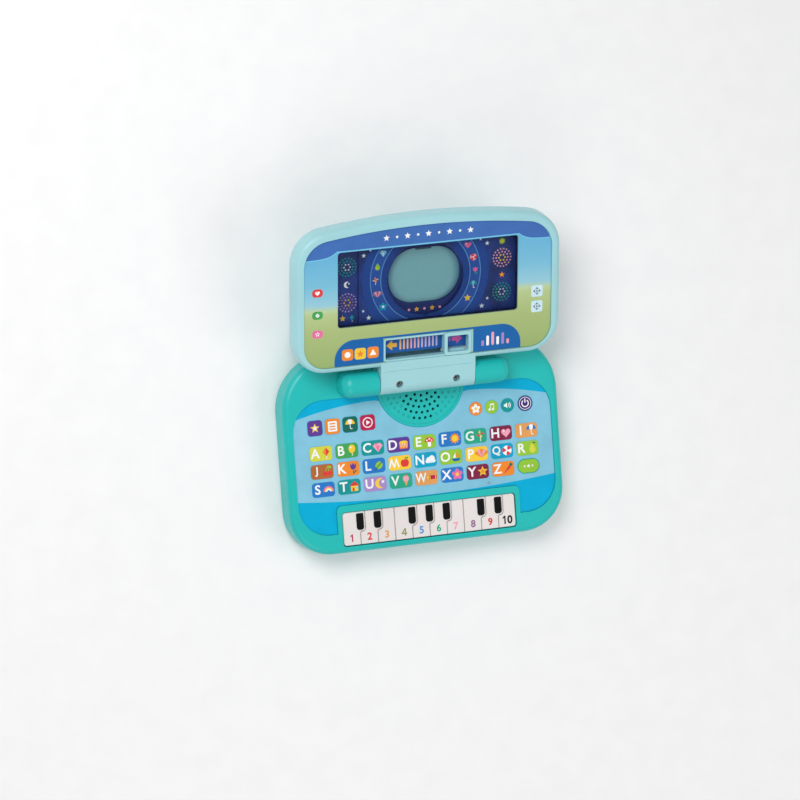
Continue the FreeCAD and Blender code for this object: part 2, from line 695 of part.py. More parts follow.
def pad_places():
    """Letter pads in rows, then the oval pad that ends the last row, as outlines on the overlay."""
    pads = []
    for row in range(TILE_ROWS):
        y = from_axis(FIRST_ROW + row * TILE_PITCH_Y)
        for column_index in range(TILE_COLUMNS):
            x = (column_index - (TILE_COLUMNS - 1) / 2) * TILE_PITCH_X
            last = row == TILE_ROWS - 1 and column_index == TILE_COLUMNS - 1
            half_x = (OVAL_WIDTH if last else TILE_WIDTH) / 2
            half_y = (OVAL_HEIGHT if last else TILE_HEIGHT) / 2
            radius = half_y if last else TILE_CORNER
            pads.append(rounded_rectangle(x - half_x, x + half_x, y - half_y, y + half_y, radius))
    return pads


def keypad_overlay():
    sheet = panel_space(FIT_CLEAR, MEMBRANE_Z, OVERLAY_Z)
    top = OVERLAY_Z + PAD_RISE
    raised = [prism(wire, OVERLAY_Z, top) for wire in pad_places()]
    half = SQUARE_ICON_SIZE / 2
    for index in range(ICON_COUNT):
        x = SQUARE_ICON_FIRST + index * SQUARE_ICON_PITCH
        y = from_axis(SQUARE_ICON_ROW)
        wire = rounded_rectangle(x - half, x + half, y - half, y + half, TILE_CORNER)
        raised.append(prism(wire, OVERLAY_Z, top))
    for index in range(ICON_COUNT - 1):
        x = ROUND_ICON_FIRST + index * ROUND_ICON_PITCH
        raised.append(column(ROUND_ICON_RADIUS, x, from_axis(ROUND_ICON_ROW), OVERLAY_Z, top))
    raised.append(column(POWER_ICON_RADIUS, POWER_ICON_X, from_axis(ROUND_ICON_ROW), OVERLAY_Z, top))
    return fuse([sheet] + raised)


def keypad_membrane():
    return panel_space(FIT_CLEAR, DECK_Z, MEMBRANE_Z)


def speaker_driver():
    y = from_axis(SPEAKER_CENTRE)
    flange_z = CEILING_Z - SPEAKER_FLANGE
    cone_z = flange_z - SPEAKER_CONE_DEPTH
    flange = column(SPEAKER_RADIUS, 0, y, flange_z, CEILING_Z)
    bowl = Part.makeCone(
        SPEAKER_MAGNET_RADIUS, SPEAKER_RADIUS - SPEAKER_CLAMP_REACH - FIT_CLEAR, SPEAKER_CONE_DEPTH,
        Vector(0, y, cone_z),
    )
    magnet = column(SPEAKER_MAGNET_RADIUS, 0, y, cone_z - SPEAKER_MAGNET_DEPTH, cone_z)
    hollow = Part.makeCone(
        SPEAKER_COIL_RADIUS, SPEAKER_RADIUS - SPEAKER_CLAMP_REACH, SPEAKER_CONE_DEPTH,
        Vector(0, y, cone_z + SPEAKER_FLANGE),
    )
    return fuse([flange, bowl, magnet]).cut(hollow)


def speaker_clamp_ring():
    y = from_axis(SPEAKER_CENTRE)
    high = CEILING_Z - SPEAKER_FLANGE
    low = high - CLAMP_THICKNESS
    ring = column(SPEAKER_RADIUS, 0, y, low, high)
    return ring.cut(column(SPEAKER_RADIUS - SPEAKER_CLAMP_REACH, 0, y, low, high))


def main_board():
    z = FLOOR_Z + BOARD_LIFT
    x0 = BOARD_X - BOARD_LENGTH / 2
    y0 = BOARD_Y - BOARD_DEPTH / 2
    return box(x0, x0 + BOARD_LENGTH, y0, y0 + BOARD_DEPTH, z, z + BOARD_THICKNESS)


def board_components():
    """The sound chip, its crystal and the smoothing capacitors that stand on the main board."""
    z = FLOOR_Z + BOARD_LIFT + BOARD_THICKNESS
    half = CHIP_SIZE / 2
    top = z + CHIP_HEIGHT
    chip = box(BOARD_X - CHIP_SIZE, BOARD_X, BOARD_Y - half, BOARD_Y + half, z, top)
    crystal = box(BOARD_X + CHIP_HEIGHT, BOARD_X + half, BOARD_Y, BOARD_Y + half, z, top)
    parts = [chip, crystal]
    for index in range(CAPACITOR_COUNT):
        x = BOARD_X + CHIP_SIZE + index * CAPACITOR_PITCH
        parts.append(column(CAPACITOR_RADIUS, x, BOARD_Y, z, z + CAPACITOR_HEIGHT))
    return Part.makeCompound(parts)


def key_centre(number):
    return (number - (KEY_COUNT + 1) / 2) * KEY_PITCH


def black_key_plan(number, shrink):
    """Outline of the black key that stands over the boundary to the right of this white key."""
    boundary = key_centre(number) + KEY_PITCH / 2
    half = BLACK_KEY_WIDTH / 2 - shrink
    rear = from_axis(KEY_REAR + BLACK_KEY_INSET) - shrink
    front = from_axis(KEY_REAR + BLACK_KEY_INSET + BLACK_KEY_LENGTH) + shrink
    return rounded_rectangle(
        boundary - half, boundary + half, front, rear, BLACK_KEY_FRONT_ROUND, BLACK_KEY_CORNER
    )


def white_key_rear(number):
    """The x of a white key's two sides beside the black keys: it carries the one on its right."""
    reach = BLACK_KEY_WIDTH / 2 + BLACK_KEY_MARGIN
    left = key_centre(number) - KEY_PITCH / 2
    right = left + KEY_PITCH
    rear_left = left + reach + KEY_GAP if number - 1 in BLACK_KEY_AFTER else left + KEY_GAP / 2
    rear_right = right + reach if number in BLACK_KEY_AFTER else right - KEY_GAP / 2
    return rear_left, rear_right


def white_key_plan(number, inset, rounded):
    """Outline of a white key, stepped where it goes round the black keys beside it."""
    left = key_centre(number) - KEY_PITCH / 2 + KEY_GAP / 2 + inset
    right = key_centre(number) + KEY_PITCH / 2 - KEY_GAP / 2 - inset
    front = from_axis(KEY_FRONT) + inset
    rear = from_axis(KEY_REAR) - inset
    step = from_axis(KEY_REAR + BLACK_KEY_INSET + BLACK_KEY_LENGTH + BLACK_KEY_MARGIN)
    rear_left, rear_right = white_key_rear(number)
    left_end = KEY_END_ROUND if number == 1 else 0
    right_end = KEY_END_ROUND if number == KEY_COUNT else 0
    corners = [(left, front, left_end), (right, front, right_end)]
    if number in BLACK_KEY_AFTER:
        corners.append((right, step + inset, STEP_INNER_ROUND))
        corners.append((rear_right - inset, step + inset, STEP_OUTER_ROUND))
        corners.append((rear_right - inset, rear, 0))
    else:
        corners.append((right, rear, right_end))
    if number - 1 in BLACK_KEY_AFTER:
        corners.append((rear_left + inset, rear, 0))
        corners.append((rear_left + inset, step - KEY_GAP - inset, STEP_OUTER_ROUND + KEY_GAP))
        corners.append((left, step - KEY_GAP - inset, STEP_INNER_ROUND - KEY_GAP))
    else:
        corners.append((left, rear, left_end))
    if not rounded:
        corners = [(x, y, 0) for x, y, radius in corners]
    return rounded_polygon(corners)


def white_key(number):
    """Hollow key on an arm that reaches back under the deck to a hub on the pivot rod."""
    low = KEY_TOP_Z - KEY_SKIRT
    body = prism(white_key_plan(number, 0, True), low, KEY_TOP_Z)
    body = body.makeChamfer(KEY_EDGE, edges_at(body, KEY_TOP_Z))
    under_top = KEY_TOP_Z - KEY_TOP_THICKNESS
    body = body.cut(prism(white_key_plan(number, KEY_WALL, False), low, under_top))
    middle = sum(white_key_rear(number)) / 2
    half = KEY_ARM_WIDTH / 2
    arm_top = KEY_PIVOT_Z + KEY_HUB_RADIUS
    arm_y = from_axis(KEY_REAR) - KEY_WALL
    arm = box(middle - half, middle + half, arm_y, KEY_PIVOT_Y, arm_top - KEY_ARM_THICKNESS, arm_top)
    hub = bar(KEY_HUB_RADIUS, middle - half, middle + half, KEY_PIVOT_Y, KEY_PIVOT_Z)
    plunger_half = KEY_PLUNGER_WIDTH / 2
    plunger_y = from_axis(KEY_PLUNGER)
    plunger_x = key_centre(number)
    plunger = box(
        plunger_x - plunger_half, plunger_x + plunger_half,
        plunger_y - plunger_half, plunger_y + plunger_half, KEY_PLUNGER_Z, under_top,
    )
    key = fuse([body, arm, hub, plunger])
    bore = KEY_ROD_RADIUS + RUNNING_FIT
    key = key.cut(bar(bore, middle - KEY_PITCH, middle + KEY_PITCH, KEY_PIVOT_Y, KEY_PIVOT_Z))
    if number in BLACK_KEY_AFTER:
        key = key.cut(prism(black_key_plan(number, 0), KEY_TOP_Z - BLACK_KEY_SET_IN, RIM_Z))
    return key


def black_key(number):
    """Raised key set into its white key, narrower at the top."""
    low = KEY_TOP_Z - BLACK_KEY_SET_IN
    high = KEY_TOP_Z + BLACK_KEY_RISE
    body = prism(black_key_plan(number, RUNNING_FIT), low, high)
    return body.makeChamfer(BLACK_KEY_EDGE, edges_at(body, high))


def key_pivot_rod():
    reach = PIANO_HALF + ROD_BRACKET
    return bar(KEY_ROD_RADIUS, -reach, reach, KEY_PIVOT_Y, KEY_PIVOT_Z)


def key_strip_plan(half_depth, z0, z1):
    y = from_axis(KEY_PLUNGER)
    return box(-KEY_RIB_HALF, KEY_RIB_HALF, y - half_depth, y + half_depth, z0, z1)


def key_board():
    return key_strip_plan(KEY_RIB_REACH + WALL, KEY_BOARD_TOP_Z - KEY_BOARD_THICKNESS, KEY_BOARD_TOP_Z)


def key_domes():
    """Rubber strip with a blunt dome under each key's plunger."""
    strip_top = KEY_BOARD_TOP_Z + KEY_STRIP_THICKNESS
    pieces = [key_strip_plan(KEY_RIB_REACH, KEY_BOARD_TOP_Z, strip_top)]
    for number in range(1, KEY_COUNT + 1):
        place = Vector(key_centre(number), from_axis(KEY_PLUNGER), strip_top)
        pieces.append(Part.makeCone(KEY_DOME_RADIUS, KEY_PLUNGER_WIDTH, KEY_DOME_HEIGHT, place))
    return fuse(pieces)


def hinge_pin(side):
    inner = HINGE_BLOCK_WIDTH / 2 - PIN_IN_BLOCK
    outer = HINGE_BLOCK_WIDTH / 2 + HINGE_GAP + PIN_IN_KNUCKLE
    low, high = sorted((side * inner, side * outer))
    return bar(PIN_RADIUS, low, high, AXIS_Y, AXIS_Z)


# Depths in the lid, out of its picture side from the hinge axis, that follow from the sizes above
LID_FRONT_W = HINGE_RADIUS
LID_BACK_W = -HINGE_RADIUS
BACK_INNER_W = LID_BACK_W + WALL
SHEET_TOP_W = LID_FRONT_W - SHEET_SINK
SHEET_SEAT_W = SHEET_TOP_W - SHEET_THICKNESS
LENS_SEAT_W = SHEET_SEAT_W - LENS_THICKNESS
PLATE_BACK_W = SHEET_SEAT_W - FRONT_PLATE
SLOT_FRAME_W = SHEET_TOP_W + SLOT_FRAME_RISE
SCENE_TOP_W = SHEET_TOP_W - SCENE_DEPTH
SCENE_BACK_W = SCENE_TOP_W - SCENE_THICKNESS
WELL_LOW_W = SCENE_TOP_W + SLIDE_CLEAR
SLOT_FLOOR_W = WELL_LOW_W + SLOT_FLOOR_THICKNESS
BACKING_TOP_W = SCENE_BACK_W - SLIDE_CLEAR
BACKING_BACK_W = BACKING_TOP_W - BACKING_THICKNESS
DISPLAY_W = SHEET_TOP_W - DISPLAY_DEPTH
DISPLAY_BOARD_W = DISPLAY_W - DISPLAY_GLASS
HINGE_SCREW_SEAT_W = LID_FRONT_W - HINGE_SCREW_SINK - SCREW_HEAD_HEIGHT
LID_SCREW_SEAT_W = LID_BACK_W + SCREW_SINK + SCREW_HEAD_HEIGHT

# Places in the lid's plane that several pieces share
WINDOW_MIDDLE = (WINDOW_LOW + WINDOW_HIGH) / 2
DISPLAY_RADIUS = DISPLAY_WIDTH / 2
SLOT_MIDDLE = (SLOT_LOW + SLOT_HIGH) / 2
KNOB_RIGHT = SLOT_RIGHT - SLIDE_CLEAR
KNOB_LEFT = KNOB_RIGHT - KNOB_WIDTH
SLIDER_TRAVEL = KNOB_LEFT - SLOT_LEFT - SLIDE_CLEAR
SCENE_HIGH = WINDOW_HIGH + SCENE_MARGIN
PINION_PITCH_RADIUS = RACK_MODULE * PINION_TEETH / 2
RACK_PITCH = math.pi * RACK_MODULE
RACK_DEDENDUM = RACK_MODULE * DEDENDUM_FACTOR
RIGHT_RACK_ROOT = SCENE_RACK_TOP - RACK_BACK
PINION_U = RIGHT_RACK_ROOT - RACK_DEDENDUM - PINION_PITCH_RADIUS
CARRIAGE_RACK_ROOT = PINION_U - PINION_PITCH_RADIUS - RACK_DEDENDUM
CARRIAGE_BAR_LOW = CARRIAGE_RACK_ROOT - RACK_BACK
ARM_INNER = SCENE_HALF_WIDTH - CARRIAGE_ARM


def open_lid(shape):
    """Turns a piece drawn flat in the lid's plane to where the open lid holds it."""
    placed = shape.copy()
    placed.rotate(Vector(0, 0, 0), Vector(1, 0, 0), 180 - OPEN_ANGLE)
    placed.translate(Vector(0, AXIS_Y, AXIS_Z))
    return placed


def lid_outline(inset, low_inset):
    """Lid plan with an arched top edge, inset all round and by its own amount at the bottom."""
    half = LID_WIDTH / 2 - inset
    low = LID_BOTTOM + low_inset
    low_radius = LID_BOTTOM_CORNER - inset
    arch_y = LID_TOP - LID_ARCH
    arch = LID_ARCH - inset
    top_radius = LID_TOP_CORNER - inset
    corner_x = half - top_radius
    corner_y = arch_y + math.sqrt((arch - top_radius) ** 2 - corner_x ** 2)
    meet = math.degrees(math.atan2(corner_y - arch_y, corner_x))
    return join_arcs([
        arc(-half + low_radius, low + low_radius, low_radius, 180, 270),
        arc(half - low_radius, low + low_radius, low_radius, 270, 360),
        arc(corner_x, corner_y, top_radius, 0, meet),
        arc(0, arch_y, arch, meet, 180 - meet),
        arc(-corner_x, corner_y, top_radius, 180 - meet, 180),
    ])


def window_outline(grow):
    half = WINDOW_WIDTH / 2 + grow
    return rounded_rectangle(-half, half, WINDOW_LOW - grow, WINDOW_HIGH + grow, WINDOW_CORNER + grow)


def slot_outline(grow):
    return rounded_rectangle(
        SLOT_LEFT - grow, SLOT_RIGHT + grow, SLOT_LOW - grow, SLOT_HIGH + grow, SLOT_CORNER + grow
    )


def hinge_block_half(face, top):
    """Half of the hinge block, on the picture side (1) or the back (-1), up to a height on the lid."""
    half_turn = arc(0, 0, HINGE_RADIUS, 90, 180) if face > 0 else arc(0, 0, HINGE_RADIUS, 180, 270)
    flat = face * HINGE_RADIUS
    rim_end = Vector(0, flat, 0)
    parting_end = Vector(-HINGE_RADIUS, 0, 0)
    corners = [rim_end, Vector(top, flat, 0), Vector(top, 0, 0), parting_end]
    profile = Part.Wire([half_turn] + Part.makePolygon(corners).Edges)
    block = prism(profile, -HINGE_BLOCK_WIDTH / 2, HINGE_BLOCK_WIDTH / 2)
    block.Placement = FreeCAD.Placement(Vector(0, 0, 0), Rotation(Vector(1, 1, 1), 120))
    for side in (1, -1):
        inner = HINGE_BLOCK_WIDTH / 2 - PIN_IN_BLOCK - SLIDE_CLEAR
        low, high = sorted((side * inner, side * HINGE_BLOCK_WIDTH))
        block = block.cut(bar(PIN_RADIUS + RUNNING_FIT, low, high, 0, 0))
    return block


def lid_front_frame():
    shell = prism(lid_outline(0, 0), 0, LID_FRONT_W)
    shell = shell.makeFillet(LID_FRONT_ROUND, edges_at(shell, LID_FRONT_W))
    shell = fuse([shell, hinge_block_half(1, LID_BOTTOM + LID_FRONT_ROUND)])
    shell = shell.cut(prism(lid_outline(WALL, WALL), 0, PLATE_BACK_W))
    shell = shell.cut(prism(lid_outline(BEZEL_WIDTH, BEZEL_BOTTOM), SHEET_SEAT_W, LID_FRONT_W))
    additions = [prism(window_outline(WINDOW_WELL_WALL), WELL_LOW_W, PLATE_BACK_W)]
    additions.append(prism(slot_outline(SLOT_FRAME), SLOT_FLOOR_W, SLOT_FRAME_W))
    for x, u in both_sides(LID_SCREWS):
        additions.append(column(POST_RADIUS, x, u, 0, PLATE_BACK_W))
    shell = fuse([shell] + additions)
    cuts = [prism(window_outline(0), WELL_LOW_W, LID_FRONT_W)]
    cuts.append(prism(window_outline(LENS_OVERLAP), LENS_SEAT_W, SHEET_SEAT_W))
    cuts.append(prism(slot_outline(0), SLOT_FLOOR_W, LID_FRONT_W))
    crease_half = HINGE_BLOCK_WIDTH / 2 - CREASE_END
    cuts.append(box(
        -crease_half, crease_half, CREASE_PLACE - CREASE_WIDTH / 2, CREASE_PLACE + CREASE_WIDTH / 2,
        LID_FRONT_W - CREASE_DEPTH, LID_FRONT_W,
    ))
    tip = LID_SCREW_SEAT_W + SCREW_LENGTH + SLIDE_CLEAR
    for x, u in both_sides(LID_SCREWS):
        cuts.append(column(SCREW_RADIUS + PRESS_CLEAR, x, u, 0, tip))
    for side in (1, -1):
        x = side * HINGE_SCREW_X
        cuts.append(column(HINGE_SCREW_WELL, x, 0, HINGE_SCREW_SEAT_W, LID_FRONT_W))
        cuts.append(column(SCREW_RADIUS + FIT_CLEAR, x, 0, 0, HINGE_SCREW_SEAT_W))
    for cutter in cuts:
        shell = shell.cut(cutter)
    return shell


def lid_back_cover():
    shell = prism(lid_outline(0, 0), LID_BACK_W, 0)
    shell = shell.makeFillet(LID_BACK_ROUND, edges_at(shell, LID_BACK_W))
    shell = fuse([shell, hinge_block_half(-1, LID_BOTTOM + LID_BACK_ROUND)])
    shell = shell.cut(prism(lid_outline(WALL, WALL), BACK_INNER_W, 0))
    additions = [column(PINION_POST_RADIUS, 0, PINION_U, BACK_INNER_W, SCENE_TOP_W)]
    shoulder = PINION_POST_RADIUS + PINION_SHOULDER
    additions.append(column(shoulder, 0, PINION_U, BACK_INNER_W, SCENE_BACK_W - FIT_CLEAR))
    for x, u in both_sides(LID_SCREWS):
        additions.append(column(POST_RADIUS, x, u, BACK_INNER_W, 0))
    for x, u in both_sides(BACKING_POSTS):
        additions.append(column(POST_RADIUS, x, u, BACK_INNER_W, BACKING_BACK_W))
    board_back = DISPLAY_BOARD_W - DISPLAY_BOARD
    board_x = DISPLAY_BOARD_WIDTH / 2 - POST_RADIUS
    board_u = DISPLAY_RADIUS - POST_RADIUS
    for x, u in both_sides([(board_x, WINDOW_MIDDLE + board_u), (board_x, WINDOW_MIDDLE - board_u)]):
        additions.append(column(POST_RADIUS, x, u, BACK_INNER_W, board_back))
    shell = fuse([shell] + additions)
    cuts = []
    for x, u in both_sides(LID_SCREWS):
        cuts.append(column(SCREW_HEAD_RADIUS + FIT_CLEAR, x, u, LID_BACK_W, LID_SCREW_SEAT_W))
        cuts.append(column(SCREW_RADIUS + FIT_CLEAR, x, u, LID_BACK_W, 0))
    for side in (1, -1):
        tip = HINGE_SCREW_SEAT_W - SCREW_LENGTH - SLIDE_CLEAR
        cuts.append(column(SCREW_RADIUS + PRESS_CLEAR, side * HINGE_SCREW_X, 0, tip, 0))
    for cutter in cuts:
        shell = shell.cut(cutter)
    return shell


def face_sheet():
    sheet = prism(lid_outline(BEZEL_WIDTH + FIT_CLEAR, BEZEL_BOTTOM + FIT_CLEAR), SHEET_SEAT_W, SHEET_TOP_W)
    sheet = sheet.cut(prism(window_outline(0), SHEET_SEAT_W, SHEET_TOP_W))
    return sheet.cut(prism(slot_outline(SLOT_FRAME + FIT_CLEAR), SHEET_SEAT_W, SHEET_TOP_W))


def window_lens():
    return prism(window_outline(LENS_OVERLAP - FIT_CLEAR), LENS_SEAT_W, SHEET_SEAT_W)


def scene_backing():
    """Printed plate behind the sliding scenes, with a hooked rail along its top that guides them."""
    low = WINDOW_LOW - SCENE_MARGIN
    high = SCENE_HIGH + SLIDE_CLEAR + RAIL_WIDTH
    plate = box(-BACKING_HALF, BACKING_HALF, low, high, BACKING_BACK_W, BACKING_TOP_W)
    casing = prism(lid_outline(WALL + FIT_CLEAR, WALL + FIT_CLEAR), BACKING_BACK_W, BACKING_TOP_W)
    plate = plate.common(casing)
    lip_low = SCENE_TOP_W + SLIDE_CLEAR
    lip_high = lip_low + RAIL_LIP_THICKNESS
    rail = box(-RAIL_HALF, RAIL_HALF, SCENE_HIGH + SLIDE_CLEAR, high, BACKING_TOP_W, lip_high)
    lip = box(-RAIL_HALF, RAIL_HALF, SCENE_HIGH - RAIL_LIP, high, lip_low, lip_high)
    plate = fuse([plate, rail, lip])
    opening = DISPLAY_RADIUS + BACKING_OPENING_MARGIN
    return plate.cut(column(opening, 0, WINDOW_MIDDLE, BACKING_BACK_W, BACKING_TOP_W))


def rack_teeth(first_x, last_x, root, towards):
    """Straight-sided teeth on a rack between two places; a space lies over x = 0."""
    slope = math.tan(math.radians(RACK_PRESSURE_ANGLE))
    half = (RACK_PITCH - RACK_BACKLASH) / 4
    root_half = half + RACK_DEDENDUM * slope
    tip_half = half - RACK_MODULE * slope
    tip = root + towards * (RACK_DEDENDUM + RACK_MODULE)
    start = math.ceil(first_x / RACK_PITCH - 0.5)
    end = math.floor(last_x / RACK_PITCH - 0.5)
    teeth = []
    for index in range(start, end + 1):
        x = (index + 0.5) * RACK_PITCH
        points = [(x - root_half, root), (x + root_half, root), (x + tip_half, tip), (x - tip_half, tip)]
        wire = Part.makePolygon([Vector(px, py, 0) for px, py in points + points[:1]])
        teeth.append(prism(wire, SCENE_BACK_W, SCENE_TOP_W))
    return teeth


def scene_panel(low):
    """Right half of the sliding scene: a plate with a half round opening for the display."""
    plate = box(SLIDE_CLEAR, SCENE_HALF_WIDTH, low, SCENE_HIGH, SCENE_BACK_W, SCENE_TOP_W)
    outer_corner = []
    for edge in plate.Edges:
        bounds = edge.BoundBox
        if bounds.XMin > SCENE_HALF_WIDTH - SAME and bounds.YMin > SCENE_HIGH - SAME:
            outer_corner.append(edge)
    plate = plate.makeFillet(SCENE_CORNER, outer_corner)
    opening = column(DISPLAY_RADIUS + SCENE_OPENING_MARGIN, 0, WINDOW_MIDDLE, SCENE_BACK_W, SCENE_TOP_W)
    return plate.cut(opening)


def scene_panel_right():
    """Right half, with a toothed tail that the pinion drives the opposite way to the knob."""
    tail = SLIDER_TRAVEL + RACK_PITCH / 2
    back = box(-tail, SCENE_HALF_WIDTH, RIGHT_RACK_ROOT, SCENE_RACK_TOP, SCENE_BACK_W, SCENE_TOP_W)
    teeth = rack_teeth(-tail, RACK_PITCH, RIGHT_RACK_ROOT, -1)
    return fuse([scene_panel(SCENE_RACK_TOP), back] + teeth)


def scene_panel_left():
    """Left half, carried straight on the knob's carriage by an arm at its outer edge."""
    plate = scene_panel(SCENE_RACK_TOP + 2 * SLIDE_CLEAR).mirror(Vector(0, 0, 0), Vector(1, 0, 0))
    arm = box(
        -SCENE_HALF_WIDTH, -ARM_INNER, CARRIAGE_BAR_LOW, SCENE_RACK_TOP + 2 * SLIDE_CLEAR,
        SCENE_BACK_W, SCENE_TOP_W,
    )
    return fuse([plate, arm])


def slider_carriage():
    """Bar behind the slot: the knob stands on it, and its teeth turn the pinion."""
    end = SLIDER_TRAVEL + RACK_PITCH
    rail = box(-ARM_INNER, end, CARRIAGE_BAR_LOW, CARRIAGE_RACK_ROOT, SCENE_BACK_W, SCENE_TOP_W)
    foot = box(KNOB_LEFT, KNOB_RIGHT, SLOT_LOW, CARRIAGE_BAR_LOW, SCENE_BACK_W, SCENE_TOP_W)
    return fuse([rail, foot] + rack_teeth(-RACK_PITCH, end, CARRIAGE_RACK_ROOT, 1))


def pinion_tooth_half_angle(radius):
    """Half of the angle that an involute tooth spans at a radius, in radians."""
    pressure = math.radians(RACK_PRESSURE_ANGLE)
    base = PINION_PITCH_RADIUS * math.cos(pressure)
    slant = math.acos(min(1.0, base / radius))
    at_pitch = (RACK_PITCH - RACK_BACKLASH) / 4 / PINION_PITCH_RADIUS
    return at_pitch + math.tan(pressure) - pressure - math.tan(slant) + slant


def drive_pinion():
    """Small gear between the two racks, with a tooth straight up and one straight down."""
    root = PINION_PITCH_RADIUS - RACK_DEDENDUM
    base = PINION_PITCH_RADIUS * math.cos(math.radians(RACK_PRESSURE_ANGLE))
    tip = PINION_PITCH_RADIUS + RACK_MODULE
    radii = [root] + [base + (tip - base) * step / FLANK_STEPS for step in range(FLANK_STEPS + 1)]
    points = []
    for tooth in range(PINION_TEETH):
        middle = math.pi / 2 + 2 * math.pi * tooth / PINION_TEETH
        flank = [(radius, pinion_tooth_half_angle(radius)) for radius in radii]
        for radius, half in [(r, -h) for r, h in flank] + flank[::-1]:
            x = radius * math.cos(middle + half)
            y = PINION_U + radius * math.sin(middle + half)
            points.append(Vector(x, y, 0))
    gear = prism(Part.makePolygon(points + points[:1]), SCENE_BACK_W, SCENE_TOP_W)
    return gear.cut(column(PINION_POST_RADIUS + RUNNING_FIT, 0, PINION_U, SCENE_BACK_W, SCENE_TOP_W))


def slot_floor():
    floor = prism(slot_outline(SLOT_FRAME), WELL_LOW_W, SLOT_FLOOR_W)
    slit = box(
        SLOT_LEFT + KNOB_WALL, SLOT_RIGHT - KNOB_WALL, SLOT_LOW, SLOT_LOW + SLIT_HEIGHT,
        WELL_LOW_W, SLOT_FLOOR_W,
    )
    return floor.cut(slit)


def slider_knob():
    """Square ring for a fingertip: a cap over the slot frame, a skirt inside it and a stem."""
    cap_low = SLOT_FRAME_W + SLIDE_CLEAR
    cap = rounded_rectangle(
        KNOB_LEFT, KNOB_RIGHT, SLOT_MIDDLE - KNOB_HEIGHT / 2, SLOT_MIDDLE + KNOB_HEIGHT / 2, KNOB_CORNER
    )
    knob = prism(cap, cap_low, cap_low + KNOB_CAP)
    knob = knob.makeFillet(KNOB_EDGE, edges_at(knob, cap_low + KNOB_CAP))
    low = SLOT_LOW + SLIDE_CLEAR
    high = SLOT_HIGH - SLIDE_CLEAR
    skirt = rounded_rectangle(KNOB_LEFT, KNOB_RIGHT, low, high, SLOT_CORNER)
    knob = knob.fuse(prism(skirt, SLOT_FLOOR_W + SLIDE_CLEAR, cap_low))
    well = rounded_rectangle(
        KNOB_LEFT + KNOB_WALL, KNOB_RIGHT - KNOB_WALL, low + KNOB_SKIRT_WALL, high - KNOB_SKIRT_WALL,
        SLOT_CORNER,
    )
    knob = knob.cut(prism(well, SLOT_FLOOR_W, cap_low + KNOB_CAP))
    middle = (KNOB_LEFT + KNOB_RIGHT) / 2
    stem_low = SCENE_TOP_W
    stem = box(
        middle - KNOB_STEM_WIDTH / 2, middle + KNOB_STEM_WIDTH / 2, low, low + KNOB_STEM,
        stem_low, SLOT_FLOOR_W + SLIDE_CLEAR + KNOB_STEM,
    )
    return fuse([knob, stem])


def display_bezel():
    """Round mask behind the scenes, with an opening that is wider than it is high."""
    mask = column(DISPLAY_RADIUS + DISPLAY_RIM, 0, WINDOW_MIDDLE, DISPLAY_W, BACKING_BACK_W)
    middle = WINDOW_MIDDLE + DISPLAY_LIFT
    opening = rounded_rectangle(
        -DISPLAY_RADIUS, DISPLAY_RADIUS, middle - DISPLAY_HEIGHT / 2, middle + DISPLAY_HEIGHT / 2,
        DISPLAY_CORNER,
    )
    return mask.cut(prism(opening, DISPLAY_W, BACKING_BACK_W))


def display_glass():
    return column(DISPLAY_RADIUS + DISPLAY_RIM, 0, WINDOW_MIDDLE, DISPLAY_BOARD_W, DISPLAY_W)


def display_board():
    half = DISPLAY_BOARD_WIDTH / 2
    low = WINDOW_MIDDLE - DISPLAY_RADIUS - DISPLAY_RIM
    high = WINDOW_MIDDLE + DISPLAY_RADIUS + DISPLAY_RIM
    return box(-half, half, low, high, DISPLAY_BOARD_W - DISPLAY_BOARD, DISPLAY_BOARD_W)


def hinge_screws():
    screws = []
    for side in (1, -1):
        x = side * HINGE_SCREW_X
        screws.append(screw(x, 0, HINGE_SCREW_SEAT_W, SCREW_HEAD_HEIGHT, SCREW_LENGTH, -1))
    return Part.makeCompound(screws)


def lid_screws():
    screws = []
    for x, u in both_sides(LID_SCREWS):
        screws.append(screw(x, u, LID_SCREW_SEAT_W, SCREW_HEAD_HEIGHT, SCREW_LENGTH, 1))
    return Part.makeCompound(screws)


BASE_PIECES = (
    base_top_cover, base_bottom_cover, rubber_feet, base_screws, battery_door, battery_door_screw,
    battery_cells, battery_contacts, keypad_overlay, keypad_membrane, speaker_driver,
    speaker_clamp_ring, main_board, board_components, key_pivot_rod, key_board, key_domes,
)
LID_PIECES = (
    lid_front_frame, lid_back_cover, face_sheet, window_lens, scene_backing, scene_panel_left,
    scene_panel_right, drive_pinion, slot_floor, slider_carriage, slider_knob, display_bezel,
    display_glass, display_board, hinge_screws, lid_screws,
)


def save(name, shape):
    shape.exportStep("parts/" + name + ".step")


def main():
    os.makedirs("parts", exist_ok=True)
    for piece in BASE_PIECES:
        save(piece.__name__, piece())
    save("hinge_pin_right", hinge_pin(1))
    save("hinge_pin_left", hinge_pin(-1))
    for number in range(1, KEY_COUNT + 1):
        save("white_key_" + str(number), white_key(number))
        if number in BLACK_KEY_AFTER:
            save("black_key_" + str(number), black_key(number))
    for piece in LID_PIECES:
        save(piece.__name__, open_lid(piece()))


main()
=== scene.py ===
import functools
import json
import math

import bpy
from mathutils import Matrix, Vector


